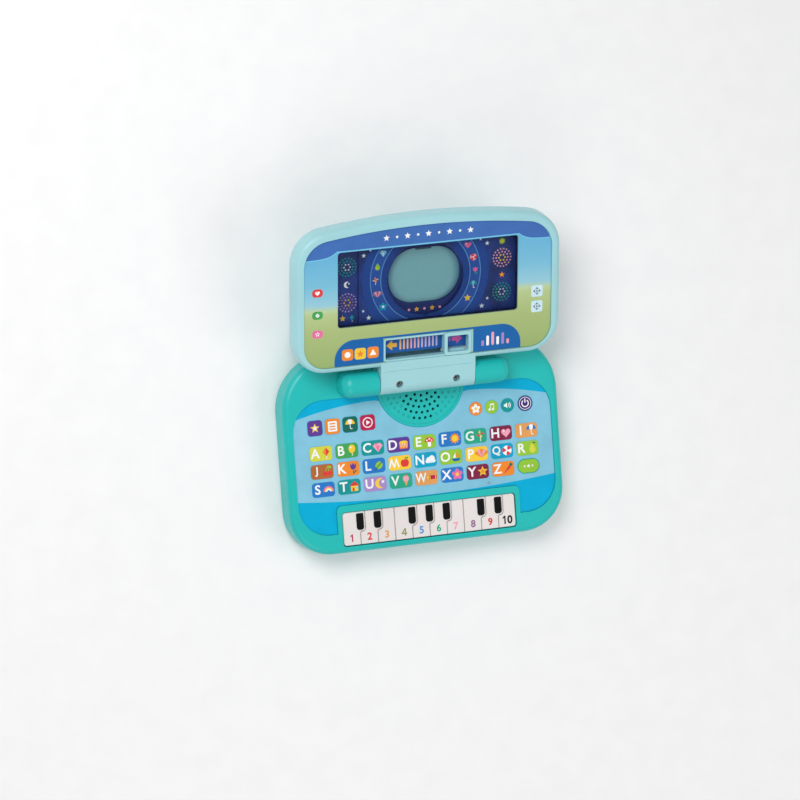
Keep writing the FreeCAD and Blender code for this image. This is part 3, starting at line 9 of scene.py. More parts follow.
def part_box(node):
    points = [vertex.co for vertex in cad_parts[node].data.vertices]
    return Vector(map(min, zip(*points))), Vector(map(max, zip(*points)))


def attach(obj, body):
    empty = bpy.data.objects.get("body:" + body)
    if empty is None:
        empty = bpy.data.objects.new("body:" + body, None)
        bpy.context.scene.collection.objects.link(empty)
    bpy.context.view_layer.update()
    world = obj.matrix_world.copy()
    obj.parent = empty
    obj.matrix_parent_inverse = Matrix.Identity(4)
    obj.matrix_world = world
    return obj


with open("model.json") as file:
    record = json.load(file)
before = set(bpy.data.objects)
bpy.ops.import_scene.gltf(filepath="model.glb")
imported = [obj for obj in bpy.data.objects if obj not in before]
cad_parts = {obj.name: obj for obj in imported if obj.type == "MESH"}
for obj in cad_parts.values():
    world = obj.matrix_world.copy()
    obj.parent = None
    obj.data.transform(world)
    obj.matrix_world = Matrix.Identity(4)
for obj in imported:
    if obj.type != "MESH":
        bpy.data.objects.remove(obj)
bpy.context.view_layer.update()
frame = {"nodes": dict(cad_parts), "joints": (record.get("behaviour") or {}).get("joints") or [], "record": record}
nodes = frame["nodes"]
joints = {joint["name"]: joint for joint in frame["joints"]}

MM = 0.001

# Points along curved outlines
CURVE_STEPS = 28
ARC_STEPS = 24
CORNER_STEPS = 6
RING_STEPS = 40
DOT_STEPS = 16
SPOT_STEPS = 14

# Ink lies this far over the face that it is printed on, and each further layer a step higher
PRINT_LIFT = 0.012
PRINT_STEP = 0.006

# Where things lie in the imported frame
PAD_RISE = 0.35
hinge = Vector(joints["lid_hinge"]["pos_m"])
lid_normal = Vector(joints["pinion_spin"]["axis"]).normalized()
lean = math.atan2(-lid_normal.y, lid_normal.z)
pad_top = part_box("keypad_overlay")[1].z
panel_top = pad_top - PAD_RISE * MM
key_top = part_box("white_key_1")[1].z


def add_object(name, data):
    """New object in the scene."""
    made = bpy.data.objects.new(name, data)
    bpy.context.scene.collection.objects.link(made)
    return made


def base_face(height):
    """Millimetres on the base (x, minus v) to metres in the frame, at a height in metres."""
    return Matrix.Translation((0, hinge.y, height)) @ Matrix.Scale(MM, 4)


def lid_face(depth):
    """Millimetres on the lid (x, u) to metres in the frame, at a depth out of its picture side."""
    turned = Matrix.Translation(hinge) @ Matrix.Rotation(lean, 4, "X")
    return turned @ Matrix.Translation((0, 0, depth)) @ Matrix.Scale(MM, 4)


def lid_depths(node):
    """Nearest and farthest a node reaches out of the lid's picture side from the hinge axis."""
    reach = [(vertex.co - hinge).dot(lid_normal) for vertex in nodes[node].data.vertices]
    return min(reach), max(reach)


def ellipse(x, y, half_x, half_y, turn=0.0, steps=CURVE_STEPS):
    points = []
    for index in range(steps):
        angle = 2 * math.pi * index / steps
        a = half_x * math.cos(angle)
        b = half_y * math.sin(angle)
        turned_x = a * math.cos(turn) - b * math.sin(turn)
        turned_y = a * math.sin(turn) + b * math.cos(turn)
        points.append((x + turned_x, y + turned_y))
    return points


def disc(x, y, radius, steps=CURVE_STEPS):
    return ellipse(x, y, radius, radius, 0.0, steps)


def arc(x, y, radius, start, end, steps=ARC_STEPS):
    """Points along an arc between two angles in degrees."""
    points = []
    for index in range(steps + 1):
        angle = math.radians(start + (end - start) * index / steps)
        points.append((x + radius * math.cos(angle), y + radius * math.sin(angle)))
    return points


def rounded(x, y, width, height, radius):
    """Rectangle about a centre with round corners."""
    a = width / 2 - radius
    b = height / 2 - radius
    points = []
    for sx, sy, start in ((1, 1, 0), (-1, 1, 90), (-1, -1, 180), (1, -1, 270)):
        points += arc(x + sx * a, y + sy * b, radius, start, start + 90, CORNER_STEPS)
    return points


def star(x, y, outer, inner, tips=5):
    """Star with one tip straight up."""
    points = []
    for index in range(2 * tips):
        radius = inner if index % 2 else outer
        angle = math.radians(90 + 180 * index / tips)
        points.append((x + radius * math.cos(angle), y + radius * math.sin(angle)))
    return points


def signed_area(points):
    """Area of an outline, below zero where it runs clockwise."""
    total = 0.0
    for (x0, y0), (x1, y1) in zip(points, points[1:] + points[:1]):
        total += x0 * y1 - x1 * y0
    return total / 2


GLYPH_STEPS = 4
TURNED = {"M": "W"}
NARROWED = {"M": 0.8, "W": 0.8}


@functools.cache
def glyph(letters, weight):
    """Flat mesh of some letters about their middle, one unit high; an M is a W turned over."""
    curve = bpy.data.curves.new("glyph", "FONT")
    curve.body = TURNED.get(letters, letters)
    curve.offset = weight
    curve.resolution_u = GLYPH_STEPS
    holder = bpy.data.objects.new("glyph", curve)
    mesh = bpy.data.meshes.new_from_object(holder)
    points = [vertex.co.xy for vertex in mesh.vertices]
    faces = [tuple(polygon.vertices) for polygon in mesh.polygons]
    bpy.data.objects.remove(holder)
    bpy.data.curves.remove(curve)
    bpy.data.meshes.remove(mesh)
    across = [point.x for point in points]
    upward = [point.y for point in points]
    middle = Vector((min(across) + max(across), min(upward) + max(upward))) / 2
    size = max(upward) - min(upward)
    if letters in TURNED:
        size = -size
    width = NARROWED.get(letters, 1.0)
    points = [(point - middle) / size for point in points]
    return [(point.x * width, point.y) for point in points], faces


class Print:
    """Thin ink shapes, drawn in millimetres on one face of a moving body, kept as one piece."""

    def __init__(self, name, place, body, slot):
        self.name = name
        self.place = place
        self.body = body
        self.slot = slot
        self.points = []
        self.faces = []
        self.face_inks = []
        self.inks = []
        self.level = 0

    def restart(self, level=0):
        """Next shape lies on a low layer again."""
        self.level = level

    def add(self, points, faces, ink):
        height = PRINT_LIFT + self.level * PRINT_STEP
        first = len(self.points)
        self.points += [(x, y, height) for x, y in points]
        if ink not in self.inks:
            self.inks.append(ink)
        for face in faces:
            self.faces.append([first + index for index in face])
            self.face_inks.append(self.inks.index(ink))
        self.level += 1

    def fill(self, points, ink):
        """One filled outline."""
        if signed_area(points) < 0:
            points = points[::-1]
        self.add(points, [range(len(points))], ink)

    def band(self, one, other, ink, closed=False):
        """Strip between two runs of points of the same count."""
        count = len(one)
        faces = []
        for index in range(count if closed else count - 1):
            after = (index + 1) % count
            faces.append((index, after, count + after, count + index))
        points = list(one) + list(other)
        corner = [points[index] for index in faces[0]]
        if signed_area(corner) < 0:
            faces = [face[::-1] for face in faces]
        self.add(points, faces, ink)

    def line(self, path, width, ink):
        """Stroke of one width along a run of points."""
        left = []
        right = []
        for index, (x, y) in enumerate(path):
            before = path[max(0, index - 1)]
            after = path[min(len(path) - 1, index + 1)]
            along = Vector((after[0] - before[0], after[1] - before[1])).normalized() * width / 2
            left.append((x - along.y, y + along.x))
            right.append((x + along.y, y - along.x))
        self.band(left, right, ink)

    def write(self, letters, x, y, height, ink, weight):
        """Letters about a point, thickened by a weight in parts of their height."""
        points, faces = glyph(letters, weight)
        self.add([(x + a * height, y + b * height) for a, b in points], faces, ink)

    def make(self):
        mesh = bpy.data.meshes.new(self.name)
        points = [self.place @ Vector(point) for point in self.points]
        mesh.from_pydata(points, [], self.faces)
        for ink in self.inks:
            mesh.materials.append(print_ink(ink))
        for polygon, ink in zip(mesh.polygons, self.face_inks):
            polygon.material_index = ink
        piece = add_object(self.name, mesh)
        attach(piece, self.body)


class Art:
    """Place for a small picture on a print, drawn about its middle in parts of its half size."""

    def __init__(self, sheet, x, y, half=1.0):
        self.sheet = sheet
        self.x = x
        self.y = y
        self.half = half

    def placed(self, points):
        return [(self.x + along * self.half, self.y + up * self.half) for along, up in points]

    def fill(self, points, ink):
        self.sheet.fill(self.placed(points), ink)

    def band(self, one, other, ink, closed=False):
        self.sheet.band(self.placed(one), self.placed(other), ink, closed)

    def ring(self, outer, inner, ink):
        self.band(disc(0, 0, outer, RING_STEPS), disc(0, 0, inner, RING_STEPS), ink, True)

    def line(self, path, width, ink):
        self.sheet.line(self.placed(path), width * self.half, ink)


def linear(colour):
    """Scene colour of an 8 bit screen colour."""
    values = []
    for level in colour:
        part = min(level, 255) / 255
        values.append(part / 12.92 if part <= 0.04045 else ((part + 0.055) / 1.055) ** 2.4)
    return (*values, 1.0)


# Sockets of a colour mix node: factor and two colours in, one colour out
MIX_INPUTS = (0, 6, 7)
MIX_OUTPUT = 2

# Cosine of a rounded edge's lean from its face: the edge lightening, partly wear and partly painted highlight, is
# full at the first value and absent at the second
EDGE_WORN_AND_LIT = 0.72
EDGE_FLAT = 0.93
EDGE_SAMPLES = 4


finishes = {}


class Surface:
    """Material whose colour, gloss and relief vary over the object it is on."""

    def __init__(self, name):
        self.name = name
        self.material = bpy.data.materials.new(name)
        self.material.use_nodes = True
        tree = self.material.node_tree
        self.nodes = tree.nodes
        self.links = tree.links
        self.shader = self.nodes["Principled BSDF"]
        self.where = self.node("ShaderNodeTexCoord").outputs["Object"]
        self.normal = None

    def feed(self, socket, value):
        """Links a varying value to a socket, or sets a constant on it."""
        if isinstance(value, bpy.types.NodeSocket):
            self.links.new(value, socket)
        else:
            socket.default_value = value

    def feed_all(self, node, values):
        for name, value in values.items():
            self.feed(node.inputs[name.replace("_", " ")], value)

    def set(self, **values):
        """Sets inputs of the shader by name."""
        self.feed_all(self.shader, values)

    def node(self, kind, **values):
        """New node of a kind, with inputs set by name."""
        node = self.nodes.new(kind)
        self.feed_all(node, values)
        return node

    def noise(self, scale, detail):
        node = self.node("ShaderNodeTexNoise", Vector=self.where, Scale=scale, Detail=detail)
        return node.outputs["Fac"]

    def spread(self, value, low, high, start=0.3, end=0.7):
        """Value between a start and an end, brought to run from low to high."""
        limits = {"From Min": start, "From Max": end, "To Min": low, "To Max": high}
        return self.node("ShaderNodeMapRange", Value=value, **limits).outputs["Result"]

    def clouds(self, scale, detail, start=0.3, end=0.7):
        """Noise that runs from 0 to 1."""
        return self.spread(self.noise(scale, detail), 0.0, 1.0, start, end)

    def mix(self, factor, one, other):
        node = self.node("ShaderNodeMix")
        node.data_type = "RGBA"
        for socket, value in zip(MIX_INPUTS, (factor, one, other)):
            self.feed(node.inputs[socket], value)
        return node.outputs[MIX_OUTPUT]

    def tones(self, factor, colour, low, high):
        """Colour that varies between two strengths."""
        weak = linear([level * low for level in colour])
        strong = linear([level * high for level in colour])
        return self.mix(factor, weak, strong)

    def math(self, operation, one, other, kind="ShaderNodeMath"):
        node = self.node(kind)
        node.operation = operation
        self.feed(node.inputs[0], one)
        self.feed(node.inputs[1], other)
        return node.outputs["Value"]

    def vector(self, operation, one, other):
        """Number that comes of two vectors."""
        return self.math(operation, one, other, "ShaderNodeVectorMath")

    def ramp(self, value, stops):
        """Colours between places from 0 to 1."""
        node = self.node("ShaderNodeValToRGB", Fac=value)
        elements = node.color_ramp.elements
        while len(elements) < len(stops):
            elements.new(0.5)
        for element, (place, colour) in zip(elements, stops):
            element.position = place
            element.color = linear(colour)
        return node.outputs["Color"]

    def edge_mask(self, radius):
        """High within a radius of a sharp edge, where a rounded one would lean from the face."""
        node = self.node("ShaderNodeBevel", Radius=radius)
        node.samples = EDGE_SAMPLES
        flat = self.node("ShaderNodeNewGeometry").outputs["True Normal"]
        lean_away = self.vector("DOT_PRODUCT", node.outputs["Normal"], flat)
        return self.spread(lean_away, 1.0, 0.0, EDGE_WORN_AND_LIT, EDGE_FLAT)

    def gloss(self, scale, detail, low, high):
        """Roughness that varies between two values."""
        self.set(Roughness=self.spread(self.noise(scale, detail), low, high))

    def bump(self, height, strength, distance):
        node = self.node("ShaderNodeBump", Height=height, Strength=strength, Distance=distance)
        if self.normal:
            self.feed(node.inputs["Normal"], self.normal)
        self.normal = node.outputs["Normal"]

    def grain(self, scale, detail, strength, distance):
        """Relief that follows a noise, with a depth in metres."""
        self.bump(self.noise(scale, detail), strength, distance)

    def finish(self):
        """Material, which is also kept among the finishes."""
        if self.normal:
            self.set(Normal=self.normal)
        finishes[self.name] = self.material
        return self.material


# Share and strength of the lighter edge tone: partly wear, partly a painted highlight along every edge
WORN_AND_LIT_EDGE_SHARE = 0.45
WORN_AND_LIT_EDGE_TONE = 1.25
GLOW_DEPTH = 0.004


def moulded(name, colour, roughness, edge=0.35, glow=0.0, shine=0.5):
    """Injection moulded plastic: fine spark grain, faint flow tone, handling smears, and edges painted lighter,
    partly as wear from rubbing and partly as painted highlight.
    """
    surface = Surface(name)
    # Lighter edges: partly wear, partly painted highlight
    worn_and_lit_edges = surface.edge_mask(edge * MM)
    body = surface.tones(surface.clouds(16, 1), colour, 0.985, 1.012)
    worn_and_lit_share = surface.math("MULTIPLY", worn_and_lit_edges, WORN_AND_LIT_EDGE_SHARE)
    surface.set(Base_Color=surface.mix(worn_and_lit_share, body, linear([level * WORN_AND_LIT_EDGE_TONE for level in colour])))
    surface.gloss(110, 4, roughness - 0.04, roughness + 0.08)
    surface.set(Specular_IOR_Level=shine)
    if glow:
        surface.set(Subsurface_Weight=glow, Subsurface_Scale=GLOW_DEPTH)
    surface.grain(26, 1, 0.12, 0.0003)
    surface.grain(2200, 2, 0.012, 0.00008)
    return surface.finish()


def rubber(name, colour):
    """Dull rubber with some dust on it."""
    surface = Surface(name)
    dust = surface.clouds(700, 5, 0.45, 0.75)
    surface.set(Base_Color=surface.tones(dust, colour, 1.0, 1.5))
    surface.gloss(300, 3, 0.7, 0.92)
    surface.grain(1800, 3, 0.4, 0.0001)
    return surface.finish()


def metal(name, colour, roughness):
    """Plated steel with a fine grain and a few dull patches."""
    surface = Surface(name)
    surface.set(Base_Color=surface.tones(surface.clouds(400, 5), colour, 1.0, 0.8), Metallic=1.0)
    surface.gloss(900, 4, roughness - 0.08, roughness + 0.15)
    surface.grain(5000, 2, 0.2, 0.00003)
    return surface.finish()


def printed(name, colour, roughness=0.36, shine=0.25):
    """Ink under a clear film: slight density clouds, a fine orange peel in the film."""
    surface = Surface(name)
    surface.set(Base_Color=surface.tones(surface.clouds(60, 4), colour, 0.97, 1.025))
    surface.gloss(180, 3, roughness - 0.06, roughness + 0.08)
    surface.set(Specular_IOR_Level=shine)
    surface.grain(900, 2, 0.08, 0.00005)
    return surface.finish()


INKS = {
    "white": (247, 248, 250), "ice": (205, 235, 245), "sky": (120, 200, 232), "band": (132, 196, 220),
    "cyan": (6, 162, 200), "blue": (40, 120, 200), "deep": (22, 100, 170),
    "violet": (96, 60, 150), "purple": (72, 44, 120), "lilac": (170, 140, 200), "pink": (235, 110, 165),
    "rose": (240, 165, 185), "crimson": (190, 30, 75), "red": (222, 60, 60), "maroon": (130, 35, 70),
    "orange": (240, 140, 45), "tan": (228, 160, 90), "brown": (180, 105, 55), "yellow": (250, 205, 60),
    "lemon": (215, 215, 70), "lime": (150, 200, 60), "green": (70, 165, 85), "forest": (20, 105, 90),
    "teal": (20, 150, 150), "jade": (40, 170, 135), "olive": (140, 145, 60), "grey": (120, 135, 150),
    "black": (25, 25, 30), "slate": (60, 95, 108), "night": (16, 22, 52), "line": (92, 150, 214),
    "ring_in": (30, 70, 148), "ring_mid": (42, 88, 172), "ring_out": (34, 76, 158),
    "header": (64, 110, 181), "arrow": (190, 205, 215), "mauve": (150, 110, 150), "amber": (222, 170, 60),
    "magenta": (200, 84, 156), "sand": (226, 178, 132), "blush": (222, 164, 178), "mist": (188, 170, 208),
}


@functools.cache
def print_ink(name):
    return printed("ink_" + name, INKS[name])


# Face sheet's picture: its lowest and highest place up the lid in metres, and its colours between
SCENERY_LOW = 0.018
SCENERY_HIGH = 0.143
HILL_HEIGHT = 0.002
SCENERY = (
    (0.0, (152, 177, 108)), (0.28, (170, 189, 122)), (0.42, (182, 201, 140)), (0.45, (188, 209, 160)),
    (0.49, (150, 203, 219)), (0.62, (120, 190, 218)), (0.85, (98, 177, 217)), (1.0, (82, 164, 212)),
)


def scenery(name):
    """Sky over a meadow, printed on the face sheet, with a softly rolling horizon."""
    surface = Surface(name)
    upward = Vector((0, math.cos(lean), math.sin(lean)))
    height = surface.vector("DOT_PRODUCT", surface.where, upward)
    hills = surface.spread(surface.noise(16, 2), -HILL_HEIGHT, HILL_HEIGHT)
    height = surface.math("ADD", height, hills)
    start = hinge.dot(upward)
    place = surface.spread(height, 0.0, 1.0, start + SCENERY_LOW, start + SCENERY_HIGH)
    surface.set(Base_Color=surface.ramp(place, SCENERY))
    surface.gloss(180, 3, 0.3, 0.42)
    surface.grain(900, 2, 0.08, 0.00005)
    return surface.finish()


def night(name, colour):
    """Deep blue print behind the window, with soft clouds of lighter tone."""
    surface = Surface(name)
    surface.set(Base_Color=surface.tones(surface.clouds(40, 4), colour, 0.8, 1.25))
    surface.gloss(200, 3, 0.3, 0.45)
    surface.grain(1500, 2, 0.08, 0.00004)
    return surface.finish()


# Display: where its painted shade towards its ends starts to darken it and where it is darkest, in metres
SHADE_START = 0.026
SHADE_END = 0.038
SHADE_COLOUR = (40, 100, 150)
CELLS_PER_METRE = 400.0
CELL_GAP = 0.04
CELL_COLOURS = {"Color1": (136, 196, 204), "Color2": (132, 191, 199), "Mortar": (123, 181, 190)}


def display(name, centre):
    """Blue-green liquid crystal glass with faint cells, with painted shade darkening it towards its ends."""
    surface = Surface(name)
    away = surface.vector("DISTANCE", surface.where, centre)
    # Painted shade: the glass darkens towards its ends
    shade = surface.spread(away, 0.0, 1.0, SHADE_START, SHADE_END)
    sizes = {"Scale": CELLS_PER_METRE, "Mortar Size": CELL_GAP}
    cells = surface.node("ShaderNodeTexBrick", Vector=surface.where, **sizes)
    cells.offset = 0.0
    for socket, colour in CELL_COLOURS.items():
        cells.inputs[socket].default_value = linear(colour)
    surface.set(Base_Color=surface.mix(shade, cells.outputs["Color"], linear(SHADE_COLOUR)))
    surface.gloss(150, 3, 0.08, 0.16)
    surface.grain(30, 1, 0.05, 0.0002)
    return surface.finish()


def clear(name):
    """Clear moulded lens with a few light smears."""
    surface = Surface(name)
    surface.set(Base_Color=linear((14, 18, 26)), Alpha=0.1)
    surface.gloss(60, 2, 0.03, 0.08)
    surface.grain(20, 1, 0.03, 0.0003)
    return surface.finish()


def circuit(name):
    """Green board with slightly raised tracks."""
    surface = Surface(name)
    tracks = surface.clouds(500, 1, 0.49, 0.52)
    surface.set(Base_Color=surface.mix(tracks, linear((24, 92, 58)), linear((40, 125, 78))))
    surface.gloss(300, 2, 0.35, 0.5)
    surface.bump(tracks, 0.2, 0.00005)
    return surface.finish()


DISPLAY_MIDDLE = 93.25
display_centre = lid_face(lid_depths("display_glass")[1]) @ Vector((0, DISPLAY_MIDDLE, 0))

# Finishes of the material slots
moulded("teal_plastic", (20, 189, 184), 0.35, glow=0.04)
moulded("aqua_plastic", (162, 214, 220), 0.33, glow=0.06)
rubber("grey_rubber", (66, 69, 73))
metal("steel", (172, 175, 180), 0.32)
metal("cell_case", (88, 94, 104), 0.4)
printed("keypad_print", (4, 174, 216), shine=0.12)
printed("membrane_film", (205, 215, 220), 0.45)
metal("speaker_steel", (58, 60, 64), 0.5)
moulded("dark_plastic", (28, 46, 108), 0.4, shine=0.25)
circuit("circuit_board")
rubber("dome_rubber", (110, 114, 118))
scenery("face_print")
clear("clear_plastic")
night("scene_print", (24, 52, 122))
printed("slot_print", (28, 88, 160))
moulded("pinion_plastic", (228, 228, 222), 0.42)
display("display_grey", display_centre)
moulded("white_key_plastic", (233, 226, 224), 0.34, glow=0.06)
moulded("black_key_plastic", (14, 12, 13), 0.36, edge=0.5, shine=0.2)

for subpart in frame["record"]["subparts"]:
    mesh = nodes[subpart["node"]].data
    mesh.materials.clear()
    mesh.materials.append(finishes[subpart["material_slot"]])


# Small generic pictures, each in two inks
def sun(art, one, other):
    art.fill(star(0, 0, 1, 0.66, 10), other)
    art.fill(disc(0, 0, 0.56), one)


def flower(art, one, other):
    for index in range(5):
        angle = math.radians(90 + 72 * index)
        art.fill(ellipse(0.55 * math.cos(angle), 0.55 * math.sin(angle), 0.45, 0.34, angle), one)
    art.fill(disc(0, 0, 0.3), other)


def leaf(art, one, other):
    lower = arc(-0.25, 0.25, 0.95, -85, -5, 12)
    upper = arc(0.25, -0.25, 0.95, 95, 175, 12)
    art.fill(lower + upper, one)
    art.line([(-0.85, -0.85), (-0.1, -0.1), (0.45, 0.45)], 0.14, other)


def moon(art, one, other):
    outer = arc(0, 0, 0.9, 60, 300)
    inner = arc(0.52, 0, 0.78, 272, 88)
    art.fill(outer + inner, one)
    art.fill(star(0.5, 0.25, 0.36, 0.16), other)


def balloon(art, one, other):
    art.line([(0, -0.5), (0.12, -0.75), (-0.06, -1)], 0.1, other)
    art.fill([(-0.2, -0.62), (0.2, -0.62), (0, -0.3)], one)
    art.fill(ellipse(0, 0.25, 0.6, 0.72), one)
    art.fill(ellipse(-0.2, 0.5, 0.12, 0.2, 0.5), "white")


def kite(art, one, other):
    art.fill([(0, 1), (0.62, 0.25), (0, -0.55)], one)
    art.fill([(0, 1), (-0.62, 0.25), (0, -0.55)], other)
    art.line([(0, -0.5), (0.18, -0.72), (0, -1)], 0.1, "white")


def cloud(art, one, other):
    art.fill(rounded(0, -0.3, 1.8, 0.6, 0.29), one)
    art.fill(disc(-0.35, 0, 0.4), one)
    art.fill(disc(0.25, 0.15, 0.52), one)
    art.fill(ellipse(0.05, -0.4, 0.5, 0.09), other)


def drop(art, one, other):
    art.fill([(0, 0.95)] + arc(0, -0.25, 0.6, 150, 390, 20), one)
    art.fill(ellipse(-0.22, -0.3, 0.12, 0.26, 0.4), other)


def mushroom(art, one, other):
    art.fill(rounded(0, -0.45, 0.6, 1, 0.2), other)
    art.fill(arc(0, -0.1, 0.85, 0, 180, 20), one)
    for x, y, radius in ((-0.42, 0.2, 0.15), (0.05, 0.42, 0.17), (0.45, 0.15, 0.13)):
        art.fill(disc(x, y, radius, SPOT_STEPS), other)


def ball(art, one, other):
    art.fill(disc(0, 0, 0.85), one)
    for start in (20, 140, 260):
        art.fill([(0, 0)] + arc(0, 0, 0.85, start, start + 60, 8), other)
    art.fill(disc(0, 0, 0.18), "white")


def gem(art, one, other):
    art.fill([(-0.5, 0.7), (0.5, 0.7), (0.9, 0.25), (0, -0.85), (-0.9, 0.25)], one)
    art.fill([(-0.3, 0.25), (0.3, 0.25), (0, -0.85)], other)
    art.fill([(-0.5, 0.7), (0, 0.7), (-0.3, 0.25)], other)


def umbrella(art, one, other):
    art.line([(0, 0.7), (0, -0.6)] + arc(0.2, -0.6, 0.2, 180, 330, 6), 0.13, "white")
    art.fill(arc(0, 0.05, 0.9, 0, 180, 20), one)
    art.fill(arc(0, 0.05, 0.88, 65, 115, 8) + [(-0.28, 0.06), (0.28, 0.06)], other)


def boat(art, one, other):
    art.fill([(-0.85, -0.35), (0.85, -0.35), (0.5, -0.85), (-0.5, -0.85)], one)
    art.fill([(0.08, -0.22), (0.08, 0.9), (0.75, -0.22)], other)
    art.fill([(-0.08, -0.22), (-0.08, 0.65), (-0.6, -0.22)], "white")


def house(art, one, other):
    art.fill(rounded(0, -0.35, 1.3, 0.95, 0.06), other)
    art.fill([(-0.9, 0.08), (0.9, 0.08), (0, 0.9)], one)
    art.fill(rounded(-0.2, -0.52, 0.36, 0.6, 0.06), one)
    art.fill(rounded(0.33, -0.3, 0.3, 0.3, 0.04), "sky")


def cherries(art, one, other):
    for side in (-0.4, 0.42):
        art.line([(side, -0.3), (0.5 * side, 0.35), (0.1, 0.85)], 0.1, other)
    art.fill(ellipse(0.45, 0.72, 0.38, 0.18, -0.4), other)
    art.fill(disc(-0.4, -0.42, 0.42), one)
    art.fill(disc(0.44, -0.38, 0.42), one)


def heart(art, one, other):
    steps = 36
    points = []
    for index in range(steps):
        turn = 2 * math.pi * index / steps
        high = 13 * math.cos(turn) - 5 * math.cos(2 * turn) - 2 * math.cos(3 * turn) - math.cos(4 * turn)
        points.append((0.85 * math.sin(turn) ** 3, 0.055 * high))
    art.fill(points, one)
    art.fill(ellipse(-0.38, 0.32, 0.1, 0.19, 0.6), other)


def cone(art, one, other):
    art.fill([(-0.42, 0), (0.42, 0), (0, -1)], other)
    art.fill(disc(0, 0.3, 0.55), one)
    art.fill(disc(0.1, 0.88, 0.14, SPOT_STEPS), "red")


def apple(art, one, other):
    art.line([(0, 0.3), (0.08, 0.65), (0.2, 0.95)], 0.13, "brown")
    art.fill(ellipse(0.42, 0.72, 0.32, 0.14, 0.4), other)
    art.fill(ellipse(-0.26, -0.15, 0.48, 0.66, 0.15), one)
    art.fill(ellipse(0.26, -0.15, 0.48, 0.66, -0.15), one)


def carrot(art, one, other):
    for turn in (0.6, 0.95, 1.3):
        art.fill(ellipse(0.3 + 0.3 * math.cos(turn), 0.3 + 0.3 * math.sin(turn), 0.42, 0.12, turn), other)
    art.fill([(-0.9, -0.9), (0.1, 0.5), (0.4, 0.42), (0.5, 0.1)], one)


def rainbow(art, one, other):
    for outer, ink in ((0.95, one), (0.72, other), (0.49, "white")):
        art.band(arc(0, -0.4, outer, 0, 180), arc(0, -0.4, outer - 0.23, 0, 180), ink)


def shell(art, one, other):
    for index in range(5):
        start = 30 + 24 * index
        rib = [(0, -0.75)] + arc(0, -0.7, 1.5, start, start + 24, 6)
        art.fill(rib, one if index % 2 else other)


def pinwheel(art, one, other):
    art.line([(0, 0), (0, -0.6), (0, -1)], 0.12, "white")
    for index in range(4):
        turn = math.radians(90 * index)
        tip = (0.85 * math.cos(turn), 0.2 + 0.8 * math.sin(turn))
        side = (0.5 * math.cos(turn + 0.8), 0.2 + 0.5 * math.sin(turn + 0.8))
        art.fill([(0, 0.2), tip, side], one if index % 2 else other)


def tulip(art, one, other):
    art.line([(0, 0), (0, -0.5), (0, -1)], 0.13, other)
    art.fill(ellipse(0.32, -0.6, 0.38, 0.13, 0.7), other)
    cup = arc(0, 0.3, 0.52, 180, 360, 14)
    art.fill(cup + [(0.52, 0.9), (0.24, 0.55), (0, 0.95), (-0.24, 0.55), (-0.52, 0.9)], one)


def pear(art, one, other):
    art.line([(0, 0.5), (0.06, 0.75), (0.15, 1)], 0.12, "brown")
    art.fill(ellipse(0.36, 0.82, 0.28, 0.12, 0.3), other)
    art.fill(ellipse(0, 0.25, 0.36, 0.5), one)
    art.fill(disc(0, -0.32, 0.58), one)


def twinkle(art, one, other):
    art.fill(star(0, 0, 0.95, 0.42), one)
    art.fill(star(0, 0, 0.5, 0.22), other)


def crayon(art, one, other):
    art.fill([(-0.95, 0), (-0.5, 0.3), (-0.5, -0.3)], other)
    art.fill(rounded(0.22, 0, 1.4, 0.68, 0.08), one)
    for place in (-0.3, 0.72):
        art.fill(rounded(place, 0, 0.12, 0.68, 0.03), other)


def drum(art, one, other):
    art.fill(rounded(0, -0.2, 1.5, 1.1, 0.15), one)
    for index in range(3):
        left = -0.7 + 0.47 * index
        art.line([(left, 0.2), (left + 0.24, -0.6), (left + 0.47, 0.2)], 0.08, "white")
    art.fill(ellipse(0, 0.38, 0.75, 0.26), other)


# Printed places on the base in millimetres: x along the hinge, v in front of it
PANEL_HALF = 118.2
PANEL_REAR = 11.8
PANEL_CORNER = 27.8
GRILLE_CENTRE = 4.0
GRILLE_RADIUS = 41.0
GRILLE_STEPS = 20
BAND_TOP_SIDES = 27.0
BAND_TOP_MIDDLE = 17.0
BAND_MEETING = 18.0
BAND_LOW_SIDES = 98.5
BAND_LOW_MIDDLE = 104.6
BAND_STEPS = 16
BAND_SIDE_STEPS = 10
MARK_X = 57.0
MARK_V = 100.6
MARK_OUTER = 1.3
MARK_INNER = 0.8


def panel_half(v):
    """Half width of the keypad panel at a place in front of the hinge."""
    corner_v = PANEL_REAR + PANEL_CORNER
    if v >= corner_v:
        return PANEL_HALF
    return PANEL_HALF - PANEL_CORNER + math.sqrt(PANEL_CORNER ** 2 - (corner_v - v) ** 2)


def panel_band(sheet):
    """Pale arched ground behind the pads, which stops at the half round grille."""
    start = math.degrees(math.asin((BAND_MEETING - GRILLE_CENTRE) / GRILLE_RADIUS))
    right = arc(0, -GRILLE_CENTRE, GRILLE_RADIUS, -90, -start, GRILLE_STEPS)
    first_x = right[-1][0]
    rise = BAND_TOP_SIDES - BAND_TOP_MIDDLE
    droop = BAND_LOW_MIDDLE - BAND_LOW_SIDES
    for index in range(1, BAND_STEPS + 1):
        share = index / BAND_STEPS
        x = first_x + (panel_half(BAND_TOP_SIDES) - first_x) * share
        right.append((x, -(BAND_TOP_MIDDLE + rise * share ** 2)))
    for index in range(1, BAND_SIDE_STEPS + 1):
        v = BAND_TOP_SIDES + (BAND_LOW_SIDES - BAND_TOP_SIDES) * index / BAND_SIDE_STEPS
        right.append((panel_half(v), -v))
    for index in range(1, BAND_STEPS + 1):
        share = 1 - index / BAND_STEPS
        right.append((PANEL_HALF * share, -(BAND_LOW_MIDDLE - droop * share ** 2)))
    left = [(-x, y) for x, y in right[1:-1]]
    sheet.fill(right + left[::-1], "band")


panel_print = Print("panel_print", base_face(panel_top), "base", "keypad_print")
panel_band(panel_print)
Art(panel_print, MARK_X, -MARK_V).ring(MARK_OUTER, MARK_INNER, "grey")
panel_print.make()

